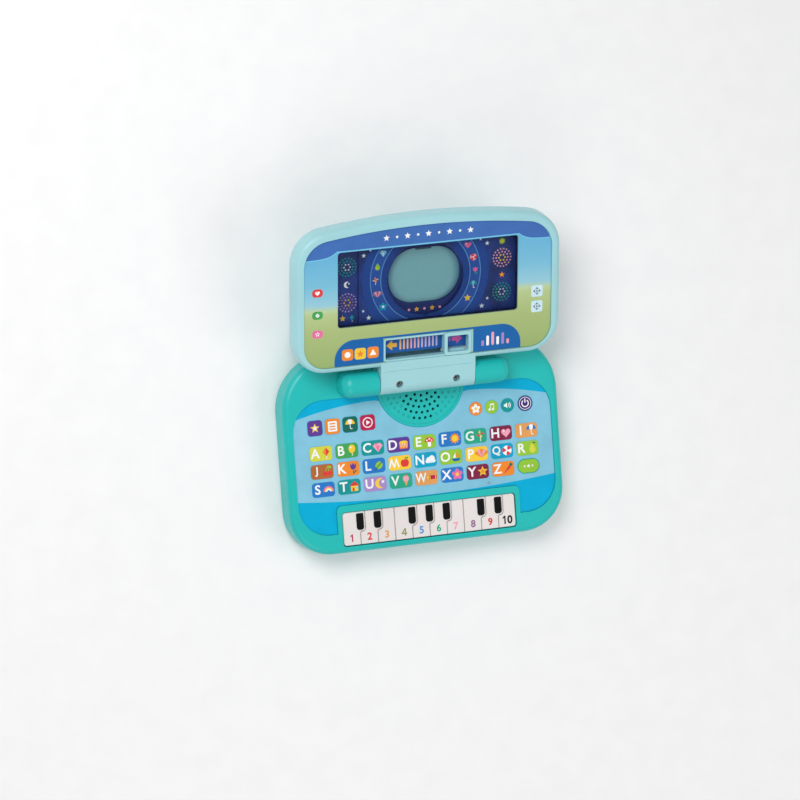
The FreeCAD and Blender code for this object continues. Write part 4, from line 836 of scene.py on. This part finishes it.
# Letter pads: ground ink, picture, and the picture's two inks
TILES = {
    "A": ("lemon", kite, "red", "orange"), "B": ("green", balloon, "yellow", "white"),
    "C": ("teal", gem, "rose", "pink"), "D": ("violet", drum, "orange", "yellow"),
    "E": ("lime", mushroom, "red", "white"), "F": ("blue", sun, "yellow", "orange"),
    "G": ("jade", pinwheel, "yellow", "red"), "H": ("maroon", heart, "rose", "white"),
    "I": ("tan", umbrella, "blue", "white"), "J": ("brown", cherries, "red", "lime"),
    "K": ("orange", tulip, "violet", "forest"), "L": ("blue", leaf, "lime", "forest"),
    "M": ("yellow", apple, "red", "green"), "N": ("cyan", cloud, "white", "ice"),
    "O": ("lime", boat, "deep", "orange"), "P": ("yellow", shell, "rose", "orange"),
    "Q": ("cyan", ball, "white", "red"), "R": ("lime", pear, "lemon", "forest"),
    "S": ("blue", rainbow, "pink", "yellow"), "T": ("teal", house, "red", "yellow"),
    "U": ("lilac", moon, "yellow", "white"), "V": ("jade", cone, "rose", "tan"),
    "W": ("tan", crayon, "crimson", "yellow"), "X": ("blue", flower, "pink", "yellow"),
    "Y": ("maroon", twinkle, "yellow", "orange"), "Z": ("orange", carrot, "red", "forest"),
}
TILE_PITCH_X = 23.6
TILE_PITCH_Y = 15.8
TILE_WIDTH = 20.4
TILE_HEIGHT = 12.6
TILE_CORNER = 2.9
FIRST_ROW = 58.0
TILE_COLUMNS = 9
LETTER_SHIFT = -5.2
LETTER_RAISE = 0.4
LETTER_HEIGHT = 8.4
LETTER_WEIGHT = 0.022
PICTURE_SHIFT = 4.6
PICTURE_HALF = 5.0


def tile_middle(index):
    """Place of a letter pad, counted along the rows."""
    row, column = divmod(index, TILE_COLUMNS)
    return (column - (TILE_COLUMNS - 1) / 2) * TILE_PITCH_X, -(FIRST_ROW + row * TILE_PITCH_Y)


pad_print = Print("pad_print", base_face(pad_top), "base", "keypad_print")
for index, (letter, (ground, picture, one, other)) in enumerate(TILES.items()):
    x, y = tile_middle(index)
    pad_print.restart()
    pad_print.fill(rounded(x, y, TILE_WIDTH, TILE_HEIGHT, TILE_CORNER), ground)
    picture(Art(pad_print, x + PICTURE_SHIFT, y, PICTURE_HALF), one, other)
    pad_print.write(letter, x + LETTER_SHIFT, y + LETTER_RAISE, LETTER_HEIGHT, "white", LETTER_WEIGHT)

# Oval pad after the letters, and the icon pads, whose icons are in millimetres where no size is given
OVAL_WIDTH = 20.2
OVAL_HEIGHT = 12.7
OVAL_RIM = 0.7
SQUARE_SIZE = 13.5
SQUARE_FIRST = -98.2
SQUARE_PITCH = 16.0
SQUARE_ROW = 35.5
ROUND_RADIUS = 6.0
ROUND_FIRST = 49.2
ROUND_PITCH = 14.7
ROUND_ROW = 34.2
POWER_RADIUS = 6.8
POWER_X = 95.0


def oval(inset):
    width = OVAL_WIDTH - 2 * inset
    height = OVAL_HEIGHT - 2 * inset
    return rounded(0, 0, width, height, height / 2 - 0.01)


def square_pad(index, ground, half=1.0):
    x = SQUARE_FIRST + index * SQUARE_PITCH
    pad_print.restart()
    pad_print.fill(rounded(x, -SQUARE_ROW, SQUARE_SIZE, SQUARE_SIZE, TILE_CORNER), ground)
    return Art(pad_print, x, -SQUARE_ROW, half)


def round_pad(x, radius, ground, half=1.0):
    pad_print.restart()
    pad_print.fill(disc(x, -ROUND_ROW, radius, RING_STEPS), ground)
    return Art(pad_print, x, -ROUND_ROW, half)


more = Art(pad_print, *tile_middle(len(TILES)))
pad_print.restart()
more.fill(oval(0.0), "green")
more.fill(oval(OVAL_RIM), "lime")
for x, size in ((-3.6, 1.2), (0.0, 1.8), (3.6, 1.2)):
    more.fill(star(x, 0, size, 0.45 * size), "white")

twinkle(square_pad(0, "violet", 4.6), "yellow", "white")
page = square_pad(1, "orange")
page.fill(rounded(0, 0, 8.2, 9.0, 1.0), "white")
for step in (-2.4, 0.0, 2.4):
    page.fill(rounded(0, step, 5.4, 1.1, 0.5), "orange")
umbrella(square_pad(2, "forest", 4.8), "yellow", "white")
play = square_pad(3, "crimson")
play.ring(4.6, 3.7, "white")
play.fill([(-1.2, 2.1), (-1.2, -2.1), (2.3, 0)], "white")

flower(round_pad(ROUND_FIRST, ROUND_RADIUS, "orange", 4.2), "white", "yellow")
notes = round_pad(ROUND_FIRST + ROUND_PITCH, ROUND_RADIUS, "lime")
for side in (-1.5, 1.6):
    notes.fill(ellipse(side - 0.5, -2.0, 1.2, 0.9, 0.3), "white")
    notes.fill(rounded(side + 0.35, 0.3, 0.6, 4.6, 0.2), "white")
notes.fill([(-1.45, 2.7), (-1.45, 1.6), (2.25, 2.1), (2.25, 3.2)], "white")
sound = round_pad(ROUND_FIRST + 2 * ROUND_PITCH, ROUND_RADIUS, "teal")
sound.fill([(-3.2, 1.0), (-3.2, -1.0), (-2.0, -1.0), (-0.2, -2.6), (-0.2, 2.6), (-2.0, 1.0)], "white")
for reach in (1.6, 3.0):
    sound.band(arc(-0.2, 0, reach + 0.35, -50, 50), arc(-0.2, 0, reach - 0.35, -50, 50), "white")
power = round_pad(POWER_X, POWER_RADIUS, "purple")
power.ring(5.6, 5.1, "white")
power.band(arc(0, 0, 3.5, 125, 415), arc(0, 0, 2.5, 125, 415), "white")
power.fill(rounded(0, 2.4, 1.0, 4.0, 0.45), "white")
pad_print.make()

# Key numbers: the figures 1 and 4 are drawn, with outlines in parts of their height
FIGURES = {
    "1": (
        ((-0.05, 0.5), (0.09, 0.5), (0.09, -0.5), (-0.09, -0.5),
         (-0.09, 0.24), (-0.28, 0.12), (-0.28, 0.3)),
    ),
    "4": (
        ((0.05, 0.5), (0.22, 0.5), (0.22, -0.5), (0.05, -0.5)),
        ((-0.38, -0.12), (0.36, -0.12), (0.36, -0.28), (-0.38, -0.28)),
        ((-0.38, -0.12), (-0.18, -0.12), (0.05, 0.24), (0.05, 0.5)),
    ),
}
KEY_INKS = ("crimson", "red", "tan", "olive", "line", "jade", "rose", "mauve", "red", "black")
KEY_COUNT = len(KEY_INKS)
KEY_PITCH = 15.87
KEY_NUMBER_PLACE = 134.6
KEY_NUMBER_HEIGHT = 6.6
KEY_NUMBER_WEIGHT = 0.032
LAST_NUMBER_HEIGHT = 7.4
LAST_NUMBER_WEIGHT = 0.036
DIGIT_PITCH = 0.62
for number, ink in enumerate(KEY_INKS, 1):
    name = "key_number_%d" % number
    key_print = Print(name, base_face(key_top), "key_%d" % number, "white_key_plastic")
    x = (number - (KEY_COUNT + 1) / 2) * KEY_PITCH
    last = number == KEY_COUNT
    height = LAST_NUMBER_HEIGHT if last else KEY_NUMBER_HEIGHT
    weight = LAST_NUMBER_WEIGHT if last else KEY_NUMBER_WEIGHT
    digits = str(number)
    for place, digit in enumerate(digits):
        across = x + (place - (len(digits) - 1) / 2) * DIGIT_PITCH * height
        key_print.restart()
        for outline in FIGURES.get(digit, ()):
            Art(key_print, across, -KEY_NUMBER_PLACE, height).fill(outline, ink)
        if digit not in FIGURES:
            key_print.write(digit, across, -KEY_NUMBER_PLACE, height, ink, weight)
    key_print.make()

# Printed places on the lid, in millimetres: x along the hinge, u up from it.
# A SHAPE is the width, height and corner radius of a rounded rectangle.
WINDOW_HALF = 81.8
WINDOW_LOW = 56.2
WINDOW_HIGH = 124.3
WINDOW_CORNER = 3.0
SHEET_HALF = 112.0
SHEET_LOW = 21.6
SHEET_ARCH = 651.6
SHEET_TOP = 142.1
SHEET_CORNER = 23.6
HEADER_END = 110.0
HEADER_STEPS = 40
HEADER_GAP = 0.4
HEADER_MARGIN = 1.0
HEADER_DROOP = 6.0
HEADER_EASE = 6.0
HEADER_HIGHLIGHT_WIDTH = 0.9
HEADER_PITCH = 9.5
HEADER_RAISE = 0.6
HEADER_DOT = 1.1
HEADER_STAR = 3.0
SLOT_FRAME_LEFT = -40.6
SLOT_FRAME_RIGHT = 41.4
SLOT_FRAME_HIGH = 42.9
LABEL_HALF = 84.8
LABEL_HIGH = 44.8
LABEL_CORNER = 18.0
LABEL_STEPS = 10
LABEL_MIDDLE = 31.5
FORM_FIRST = -73.0
FORM_PITCH = 11.5
FORM_SHAPE = (10.2, 10.2, 2.4)
SOUND_FIRST = 50.0
SOUND_PITCH = 4.6
SOUND_FOOT = 26.4
SOUND_WIDTH = 2.4
SOUND_CORNER = 1.1
SOUND_BARS = (
    (5.0, "lilac"), (9.0, "white"), (12.0, "rose"), (7.5, "white"), (10.5, "lilac"), (4.5, "rose"),
)
BADGE_X = -100.0
BADGE_SHAPE = (9.6, 7.2, 3.0)
BADGE_HALF = 2.6
BADGES = ((90.0, "red", heart), (70.0, "green", leaf), (53.0, "pink", twinkle))
ARROW_PAD_X = 99.5
ARROW_PAD_SHAPE = (10.4, 10.4, 1.6)
ARROW_TIP = 3.7
ARROW_FOOT = 2.3
ARROW_DOT = 0.9
ARROW_PADS = (71.5, 57.5)


def sheet_top(x):
    """Upper edge of the face sheet: a flat arch that turns down into round corners."""
    arch_centre = SHEET_TOP - SHEET_ARCH
    corner_x = SHEET_HALF - SHEET_CORNER
    corner_u = arch_centre + math.sqrt((SHEET_ARCH - SHEET_CORNER) ** 2 - corner_x ** 2)
    meeting = corner_x * SHEET_ARCH / (SHEET_ARCH - SHEET_CORNER)
    if abs(x) <= meeting:
        return arch_centre + math.sqrt(SHEET_ARCH ** 2 - x ** 2)
    return corner_u + math.sqrt(max(0.0, SHEET_CORNER ** 2 - (abs(x) - corner_x) ** 2))


def header_low(x):
    """Lower edge of the header stripe: along the window, then drooping at both ends."""
    beyond = max(0.0, abs(x) - WINDOW_HALF - HEADER_MARGIN)
    return WINDOW_HIGH + HEADER_GAP - HEADER_DROOP * (1 - math.exp(-beyond / HEADER_EASE))


def header(sheet):
    """Blue stripe over the window with a painted highlight along its lower edge, and a row of stars and dots."""
    places = [HEADER_END * index / HEADER_STEPS for index in range(-HEADER_STEPS, HEADER_STEPS + 1)]
    low = [(x, header_low(x)) for x in places]
    sheet.band(low, [(x, sheet_top(x)) for x in places], "header")
    # Painted highlight: a pale strip along the stripe's lower edge, where the sheet's cut edge meets the window
    sheet.band(low, [(x, u + HEADER_HIGHLIGHT_WIDTH) for x, u in low], "sky")
    level = sheet.level
    for index in range(-4, 5):
        x = HEADER_PITCH * index
        u = (WINDOW_HIGH + sheet_top(x)) / 2 + HEADER_RAISE
        sheet.restart(level)
        if index % 2:
            sheet.fill(disc(x, u, HEADER_DOT, DOT_STEPS), "white")
        else:
            sheet.fill(star(x, u, HEADER_STAR, 0.45 * HEADER_STAR), "white")


def label(sheet):
    """Blue label round the slot, with tiles of plain forms at its left and sound bars at its right."""
    for side, edge in ((-1, SLOT_FRAME_LEFT), (1, SLOT_FRAME_RIGHT)):
        corner_x = side * (LABEL_HALF - LABEL_CORNER)
        start = 0 if side > 0 else 180
        corner = arc(corner_x, LABEL_HIGH - LABEL_CORNER, LABEL_CORNER, start, 90, LABEL_STEPS)
        foot = [(side * LABEL_HALF, SHEET_LOW)]
        sheet.restart()
        sheet.fill(foot + corner + [(edge, LABEL_HIGH), (edge, SHEET_LOW)], "deep")
    sheet.restart()
    sheet.fill([(SLOT_FRAME_LEFT, SLOT_FRAME_HIGH), (SLOT_FRAME_RIGHT, SLOT_FRAME_HIGH),
                (SLOT_FRAME_RIGHT, LABEL_HIGH), (SLOT_FRAME_LEFT, LABEL_HIGH)], "deep")
    forms = (
        ("orange", disc(0, 0, 2.7), "white"), ("yellow", star(0, -0.3, 3.5, 1.6), "orange"),
        ("orange", star(0, -0.6, 3.6, 1.8, 3), "white"),
    )
    for index, (ground, form, ink) in enumerate(forms):
        tile = Art(sheet, FORM_FIRST + index * FORM_PITCH, LABEL_MIDDLE)
        sheet.restart(1)
        tile.fill(rounded(0, 0, *FORM_SHAPE), ground)
        tile.fill(form, ink)
    for index, (tall, ink) in enumerate(SOUND_BARS):
        x = SOUND_FIRST + SOUND_PITCH * index
        sheet.restart(1)
        sheet.fill(rounded(x, SOUND_FOOT + tall / 2, SOUND_WIDTH, tall, SOUND_CORNER), ink)


def side_icons(sheet):
    """Small badges beside the window, and pads with four arrow heads about a dot."""
    for u, ink, picture in BADGES:
        sheet.restart()
        sheet.fill(rounded(BADGE_X, u, *BADGE_SHAPE), ink)
        picture(Art(sheet, BADGE_X, u, BADGE_HALF), "white", ink)
    for u in ARROW_PADS:
        pad = Art(sheet, ARROW_PAD_X, u)
        sheet.restart()
        pad.fill(rounded(0, 0, *ARROW_PAD_SHAPE), "ice")
        for turn in range(0, 360, 90):
            tip = arc(0, 0, ARROW_TIP, turn, turn, 1)[:1]
            pad.fill(tip + arc(0, 0, ARROW_FOOT, turn - 45, turn + 45, 1), "grey")
        pad.fill(disc(0, 0, ARROW_DOT, SPOT_STEPS), "grey")


face_print = Print("face_artwork", lid_face(lid_depths("face_sheet")[1]), "lid", "face_print")
header(face_print)
label(face_print)
side_icons(face_print)
face_print.make()

# Picture behind the window: rings about the display on two halves that part, over a fixed backing
RING_EDGES = (34.9, 40.6, 50.0, 57.5)
RING_INKS = ("ring_in", "ring_mid", "ring_out")
RING_LINE = 0.4
SCENE_LOW = 56.0
SCENE_HIGH = 126.8
SCENE_STEPS = 60
SCENE_GAP = 0.4
DAY_INNER = 37.0
DAY_OUTER = 59.5
DAY_SIZE = 6.0
BACKING_GAP = 0.3
BACKING_SIZE = 3.2
ORBIT = 45.3
ORBIT_STEP = 16
ORBIT_SIZE = 3.7
BURST_X = 70.4
BURST_RINGS = ((2.7, 6), (5.3, 12), (8.0, 18))
BURST_DOT = 0.8
BURST_STEPS = 12
SPARKS = ((56.0, 117.0, 2.4), (50.0, 121.2, 1.5), (56.5, 67.0, 1.6), (51.5, 60.5, 2.6))
scene_back, scene_depth = lid_depths("scene_panel_left")


def ring_side(radius, side):
    """One side of a ring about the display, as points from the bottom to the top of the window."""
    points = []
    for index in range(SCENE_STEPS + 1):
        u = SCENE_LOW + (SCENE_HIGH - SCENE_LOW) * index / SCENE_STEPS
        reach = math.sqrt(max(0.0, radius ** 2 - (u - DISPLAY_MIDDLE) ** 2))
        points.append((side * max(SCENE_GAP, reach), u))
    return points


def scene_half(name, side, body, pictures):
    """One half of the picture that parts when the knob is pushed: small pictures that ride on rings."""
    sheet = Print(name, lid_face(scene_depth), body, "scene_print")
    for inner, outer, ink in zip(RING_EDGES, RING_EDGES[1:], RING_INKS):
        sheet.restart()
        sheet.band(ring_side(inner, side), ring_side(outer, side), ink)
    for radius in RING_EDGES[1:-1]:
        sheet.restart(1)
        sheet.band(ring_side(radius - RING_LINE, side), ring_side(radius + RING_LINE, side), "line")
    for index, (picture, one, other) in enumerate(pictures):
        angle = math.radians(ORBIT_STEP * (index - 2))
        u = DISPLAY_MIDDLE + ORBIT * math.sin(angle)
        sheet.restart(2)
        picture(Art(sheet, side * ORBIT * math.cos(angle), u, ORBIT_SIZE), one, other)
    for x, u, size in SPARKS:
        sheet.restart(2)
        twinkle(Art(sheet, side * x, u, size), "ice", "white")
    sheet.make()


scene_half("scene_artwork_left", -1, "slider", (
    (flower, "cyan", "white"), (shell, "rose", "mauve"), (pinwheel, "orange", "yellow"),
    (drop, "lime", "lemon"), (gem, "sky", "ice"),
))
scene_half("scene_artwork_right", 1, "right_scene", (
    (twinkle, "yellow", "lemon"), (umbrella, "teal", "sky"), (tulip, "pink", "jade"),
    (ball, "red", "rose"), (heart, "pink", "white"),
))


def burst(sheet, x, u, inks):
    """Firework of dots on three rings."""
    for (radius, count), ink in zip(BURST_RINGS, inks):
        for index in range(count):
            angle = 2 * math.pi * index / count
            centre = (x + radius * math.cos(angle), u + radius * math.sin(angle))
            sheet.restart()
            sheet.fill(disc(*centre, BURST_DOT, BURST_STEPS), ink)


# Fixed print behind the two halves: fireworks at the ends, and a day scene that they uncover
backing = Print("backing_artwork", lid_face(scene_back - BACKING_GAP * MM), "lid", "scene_print")
burst(backing, -BURST_X, 107.5, ("arrow", "teal", "teal"))
burst(backing, -BURST_X, 75.5, ("amber", "mauve", "lilac"))
burst(backing, BURST_X, 102.0, ("yellow", "rose", "blush"))
burst(backing, BURST_X, 71.0, ("arrow", "jade", "teal"))
for x, u, picture, one, other in (
    (-BURST_X, 91.8, moon, "white", "ice"), (-74.5, 61.5, twinkle, "yellow", "lemon"),
    (-66.0, 61.0, kite, "teal", "cyan"), (BURST_X, 117.0, sun, "lemon", "lime"),
    (BURST_X, 86.5, twinkle, "orange", "yellow"),
):
    backing.restart()
    picture(Art(backing, x, u, BACKING_SIZE), one, other)
for side in (-1, 1):
    inner = ring_side(DAY_INNER, side)
    backing.restart()
    backing.band(inner, [(side * DAY_OUTER, u) for x, u in inner], "yellow")
    for x, u, picture, one, other in (
        (49.0, 111.0, cloud, "white", "ice"), (50.0, 90.0, house, "red", "white"),
        (51.0, 66.0, flower, "pink", "white"), (37.0, 64.0, tulip, "crimson", "green"),
    ):
        backing.restart(1)
        picture(Art(backing, side * x, u, DAY_SIZE), one, other)
backing.make()

# Row of stars and dots under the display, and the dark tab at its top
MASK_ROW = 62.8
MASK_STEP = 7.0
MASK_STAR = 2.6
MASK_DOT = 1.2
TAB_PLACE = 116.6
TAB_SHAPE = (15.0, 2.6, 1.2)
mask_depth = lid_depths("display_bezel")[1]
mask_print = Print("display_mask_artwork", lid_face(mask_depth), "lid", "dark_plastic")
for index in range(-2, 3):
    mask_print.restart()
    if index % 2:
        twinkle(Art(mask_print, MASK_STEP * index, MASK_ROW, MASK_STAR), "yellow", "orange")
    else:
        mask_print.fill(disc(MASK_STEP * index, MASK_ROW, MASK_DOT, DOT_STEPS), "rose")
mask_print.make()

glass_print = Print("display_tab", lid_face(lid_depths("display_glass")[1]), "lid", "display_grey")
glass_print.fill(rounded(0, TAB_PLACE, *TAB_SHAPE), "slate")
glass_print.make()

# Arrows, bars and dashes on the floor of the slot
SLOT_MIDDLE = 33.8
ARROW = [(0.0, 0.0), (-5.4, 4.6), (-5.4, 1.8), (-9.6, 1.8), (-9.6, -1.8), (-5.4, -1.8), (-5.4, -4.6)]
LEFT_TIP = -36.0
RIGHT_TIP = 33.4
BAR_INKS = ("sand",) * 3 + ("blush",) * 3 + ("mist",) * 5
BAR_FIRST = -23.2
BAR_PITCH = 3.3
BAR_SHAPE = (1.5, 9.4, 0.5)
DASHES = (19.6, 21.8)
DASH_SHAPE = (1.2, 3.6, 0.4)
slot_print = Print("slot_artwork", lid_face(lid_depths("slot_floor")[1]), "lid", "slot_print")
slot_print.fill([(LEFT_TIP - along, SLOT_MIDDLE + across) for along, across in ARROW], "amber")
slot_print.restart()
slot_print.fill([(RIGHT_TIP + along, SLOT_MIDDLE + across) for along, across in ARROW], "magenta")
for index, ink in enumerate(BAR_INKS):
    slot_print.restart()
    slot_print.fill(rounded(BAR_FIRST + BAR_PITCH * index, SLOT_MIDDLE, *BAR_SHAPE), ink)
for x in DASHES:
    slot_print.restart()
    slot_print.fill(rounded(x, SLOT_MIDDLE, *DASH_SHAPE), "magenta")
slot_print.make()

# Dark lining of the window's walls, a painted shade
WALL_SHADE_INSET = 0.06
WALL_SHADE_LIFT = 0.35
WALL_SHADE_LENS_GAP = 0.05


def window_film():
    """Painted shade: a dark lining on the walls of the picture window, between the picture and the lens."""
    middle = (WINDOW_LOW + WINDOW_HIGH) / 2
    size = (2 * (WINDOW_HALF - WALL_SHADE_INSET), WINDOW_HIGH - WINDOW_LOW - 2 * WALL_SHADE_INSET)
    outline = rounded(0, middle, *size, WINDOW_CORNER - WALL_SHADE_INSET)
    points = []
    for depth in (scene_depth + WALL_SHADE_LIFT * MM, lid_depths("window_lens")[0] - WALL_SHADE_LENS_GAP * MM):
        points += [lid_face(depth) @ Vector((x, u, 0)) for x, u in outline]
    count = len(outline)
    faces = []
    for index in range(count):
        after = (index + 1) % count
        faces.append((index, count + index, count + after, after))
    mesh = bpy.data.meshes.new("window_film")
    mesh.from_pydata(points, [], faces)
    mesh.materials.append(print_ink("night"))
    piece = add_object("window_film", mesh)
    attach(piece, "lid")


window_film()

# Screw recesses are not cut: black crosses paint their shade
SCREW_SPAN = 8.0
DRIVER_REACH = 1.7
DRIVER_WIDTH = 0.75
DRIVER_TURN = 0.5
HEAD_LEVEL = 0.02


def screw_slots(node, outward, body):
    """Crossed driver slots drawn in black ink on the outer faces of the screws in a node, as painted shade of
    their recesses.
    """
    vertices = nodes[node].data.vertices
    outermost = max(vertex.co.dot(outward) for vertex in vertices)
    heads = []
    for vertex in vertices:
        if vertex.co.dot(outward) < outermost - HEAD_LEVEL * MM:
            continue
        near = [head for head in heads if (head[0] - vertex.co).length < SCREW_SPAN * MM]
        if near:
            near[0].append(vertex.co)
        else:
            heads.append([vertex.co])
    across = Vector((1, 0, 0))
    turned = Matrix((across, outward.cross(across), outward)).transposed().to_4x4()
    for number, head in enumerate(heads, 1):
        middle = sum(head, Vector()) / len(head)
        place = Matrix.Translation(middle) @ turned @ Matrix.Scale(MM, 4)
        slots = Print("%s_slot_%d" % (node, number), place, body, "steel")
        for angle in (DRIVER_TURN * number, DRIVER_TURN * number + math.pi / 2):
            x = DRIVER_REACH * math.cos(angle)
            y = DRIVER_REACH * math.sin(angle)
            slots.line([(-x, -y), (0, 0), (x, y)], DRIVER_WIDTH, "black")
        slots.make()


screw_slots("hinge_screws", lid_normal, "lid")
screw_slots("lid_screws", -lid_normal, "lid")
screw_slots("base_screws", Vector((0, 0, -1)), "base")
screw_slots("battery_door_screw", Vector((0, 0, -1)), "base")

# Pale floor, soft light and the photograph's view
FLOOR_HALF = 3.0
floor_mesh = bpy.data.meshes.new("floor")
floor_signs = ((-1, -1), (1, -1), (1, 1), (-1, 1))
floor_corners = [(x * FLOOR_HALF, y * FLOOR_HALF, 0) for x, y in floor_signs]
floor_mesh.from_pydata(floor_corners, [], [(0, 1, 2, 3)])
floor = add_object("floor", floor_mesh)
floor_surface = Surface("floor_paper")
paper = floor_surface.clouds(40, 3)
floor_surface.set(Base_Color=floor_surface.mix(paper, linear((246, 246, 247)), linear((249, 249, 249))))
floor_surface.gloss(90, 2, 0.75, 0.9)
floor_mesh.materials.append(floor_surface.finish())

SKY_LIGHT = 0.42
world = bpy.data.worlds.new("studio")
bpy.context.scene.world = world
world.use_nodes = True
sky = world.node_tree.nodes["Background"].inputs
sky["Color"].default_value = (1.0, 1.0, 1.0, 1.0)
sky["Strength"].default_value = SKY_LIGHT

# Name, place and width in metres, power in watts; the fill lamp leaves no highlights
LAMPS = (
    ("key", (-0.75, 0.75, 1.35), 0.9, 14.0),
    ("fill", (0.9, -0.5, 1.2), 1.1, 5.2),
    ("front", (-0.4, -1.1, 0.9), 0.8, 3.0),
)
for lamp_name, lamp_place, lamp_size, lamp_power in LAMPS:
    light = bpy.data.lights.new(lamp_name, "AREA")
    light.shape = "DISK"
    light.size = lamp_size
    light.energy = lamp_power
    lamp = add_object(lamp_name, light)
    lamp.location = lamp_place
    lamp.rotation_euler = Vector(lamp_place).to_track_quat("Z", "Y").to_euler()
    lamp.visible_glossy = lamp_name != "fill"

VIEW_FROM = Vector((-0.3042, 0.1301, 0.9437)).normalized()
VIEW_UP = Vector((0.106, 0.9891, -0.1022))
VIEW_AIM = Vector((0.0, 0.0, 0.040))
VIEW_ACROSS = 0.02046
VIEW_ALONG = 0.01997
VIEW_DISTANCE = 4.4196
VIEW_END = 50.0
FOCAL_PIXELS = 5103.9
IMAGE_PIXELS = 800
SENSOR = 36.0
view_right = VIEW_UP.cross(VIEW_FROM).normalized()
view_up = VIEW_FROM.cross(view_right)
camera_data = bpy.data.cameras.new("camera")
camera_data.sensor_width = SENSOR
camera_data.lens = FOCAL_PIXELS / IMAGE_PIXELS * SENSOR
camera_data.clip_end = VIEW_END
camera = add_object("camera", camera_data)
axes = Matrix((view_right, view_up, VIEW_FROM)).transposed()
place = VIEW_AIM - view_right * VIEW_ACROSS - view_up * VIEW_ALONG + VIEW_FROM * VIEW_DISTANCE
camera.matrix_world = Matrix.Translation(place) @ axes.to_4x4()
bpy.context.scene.camera = camera
bpy.context.scene.view_settings.view_transform = "Standard"
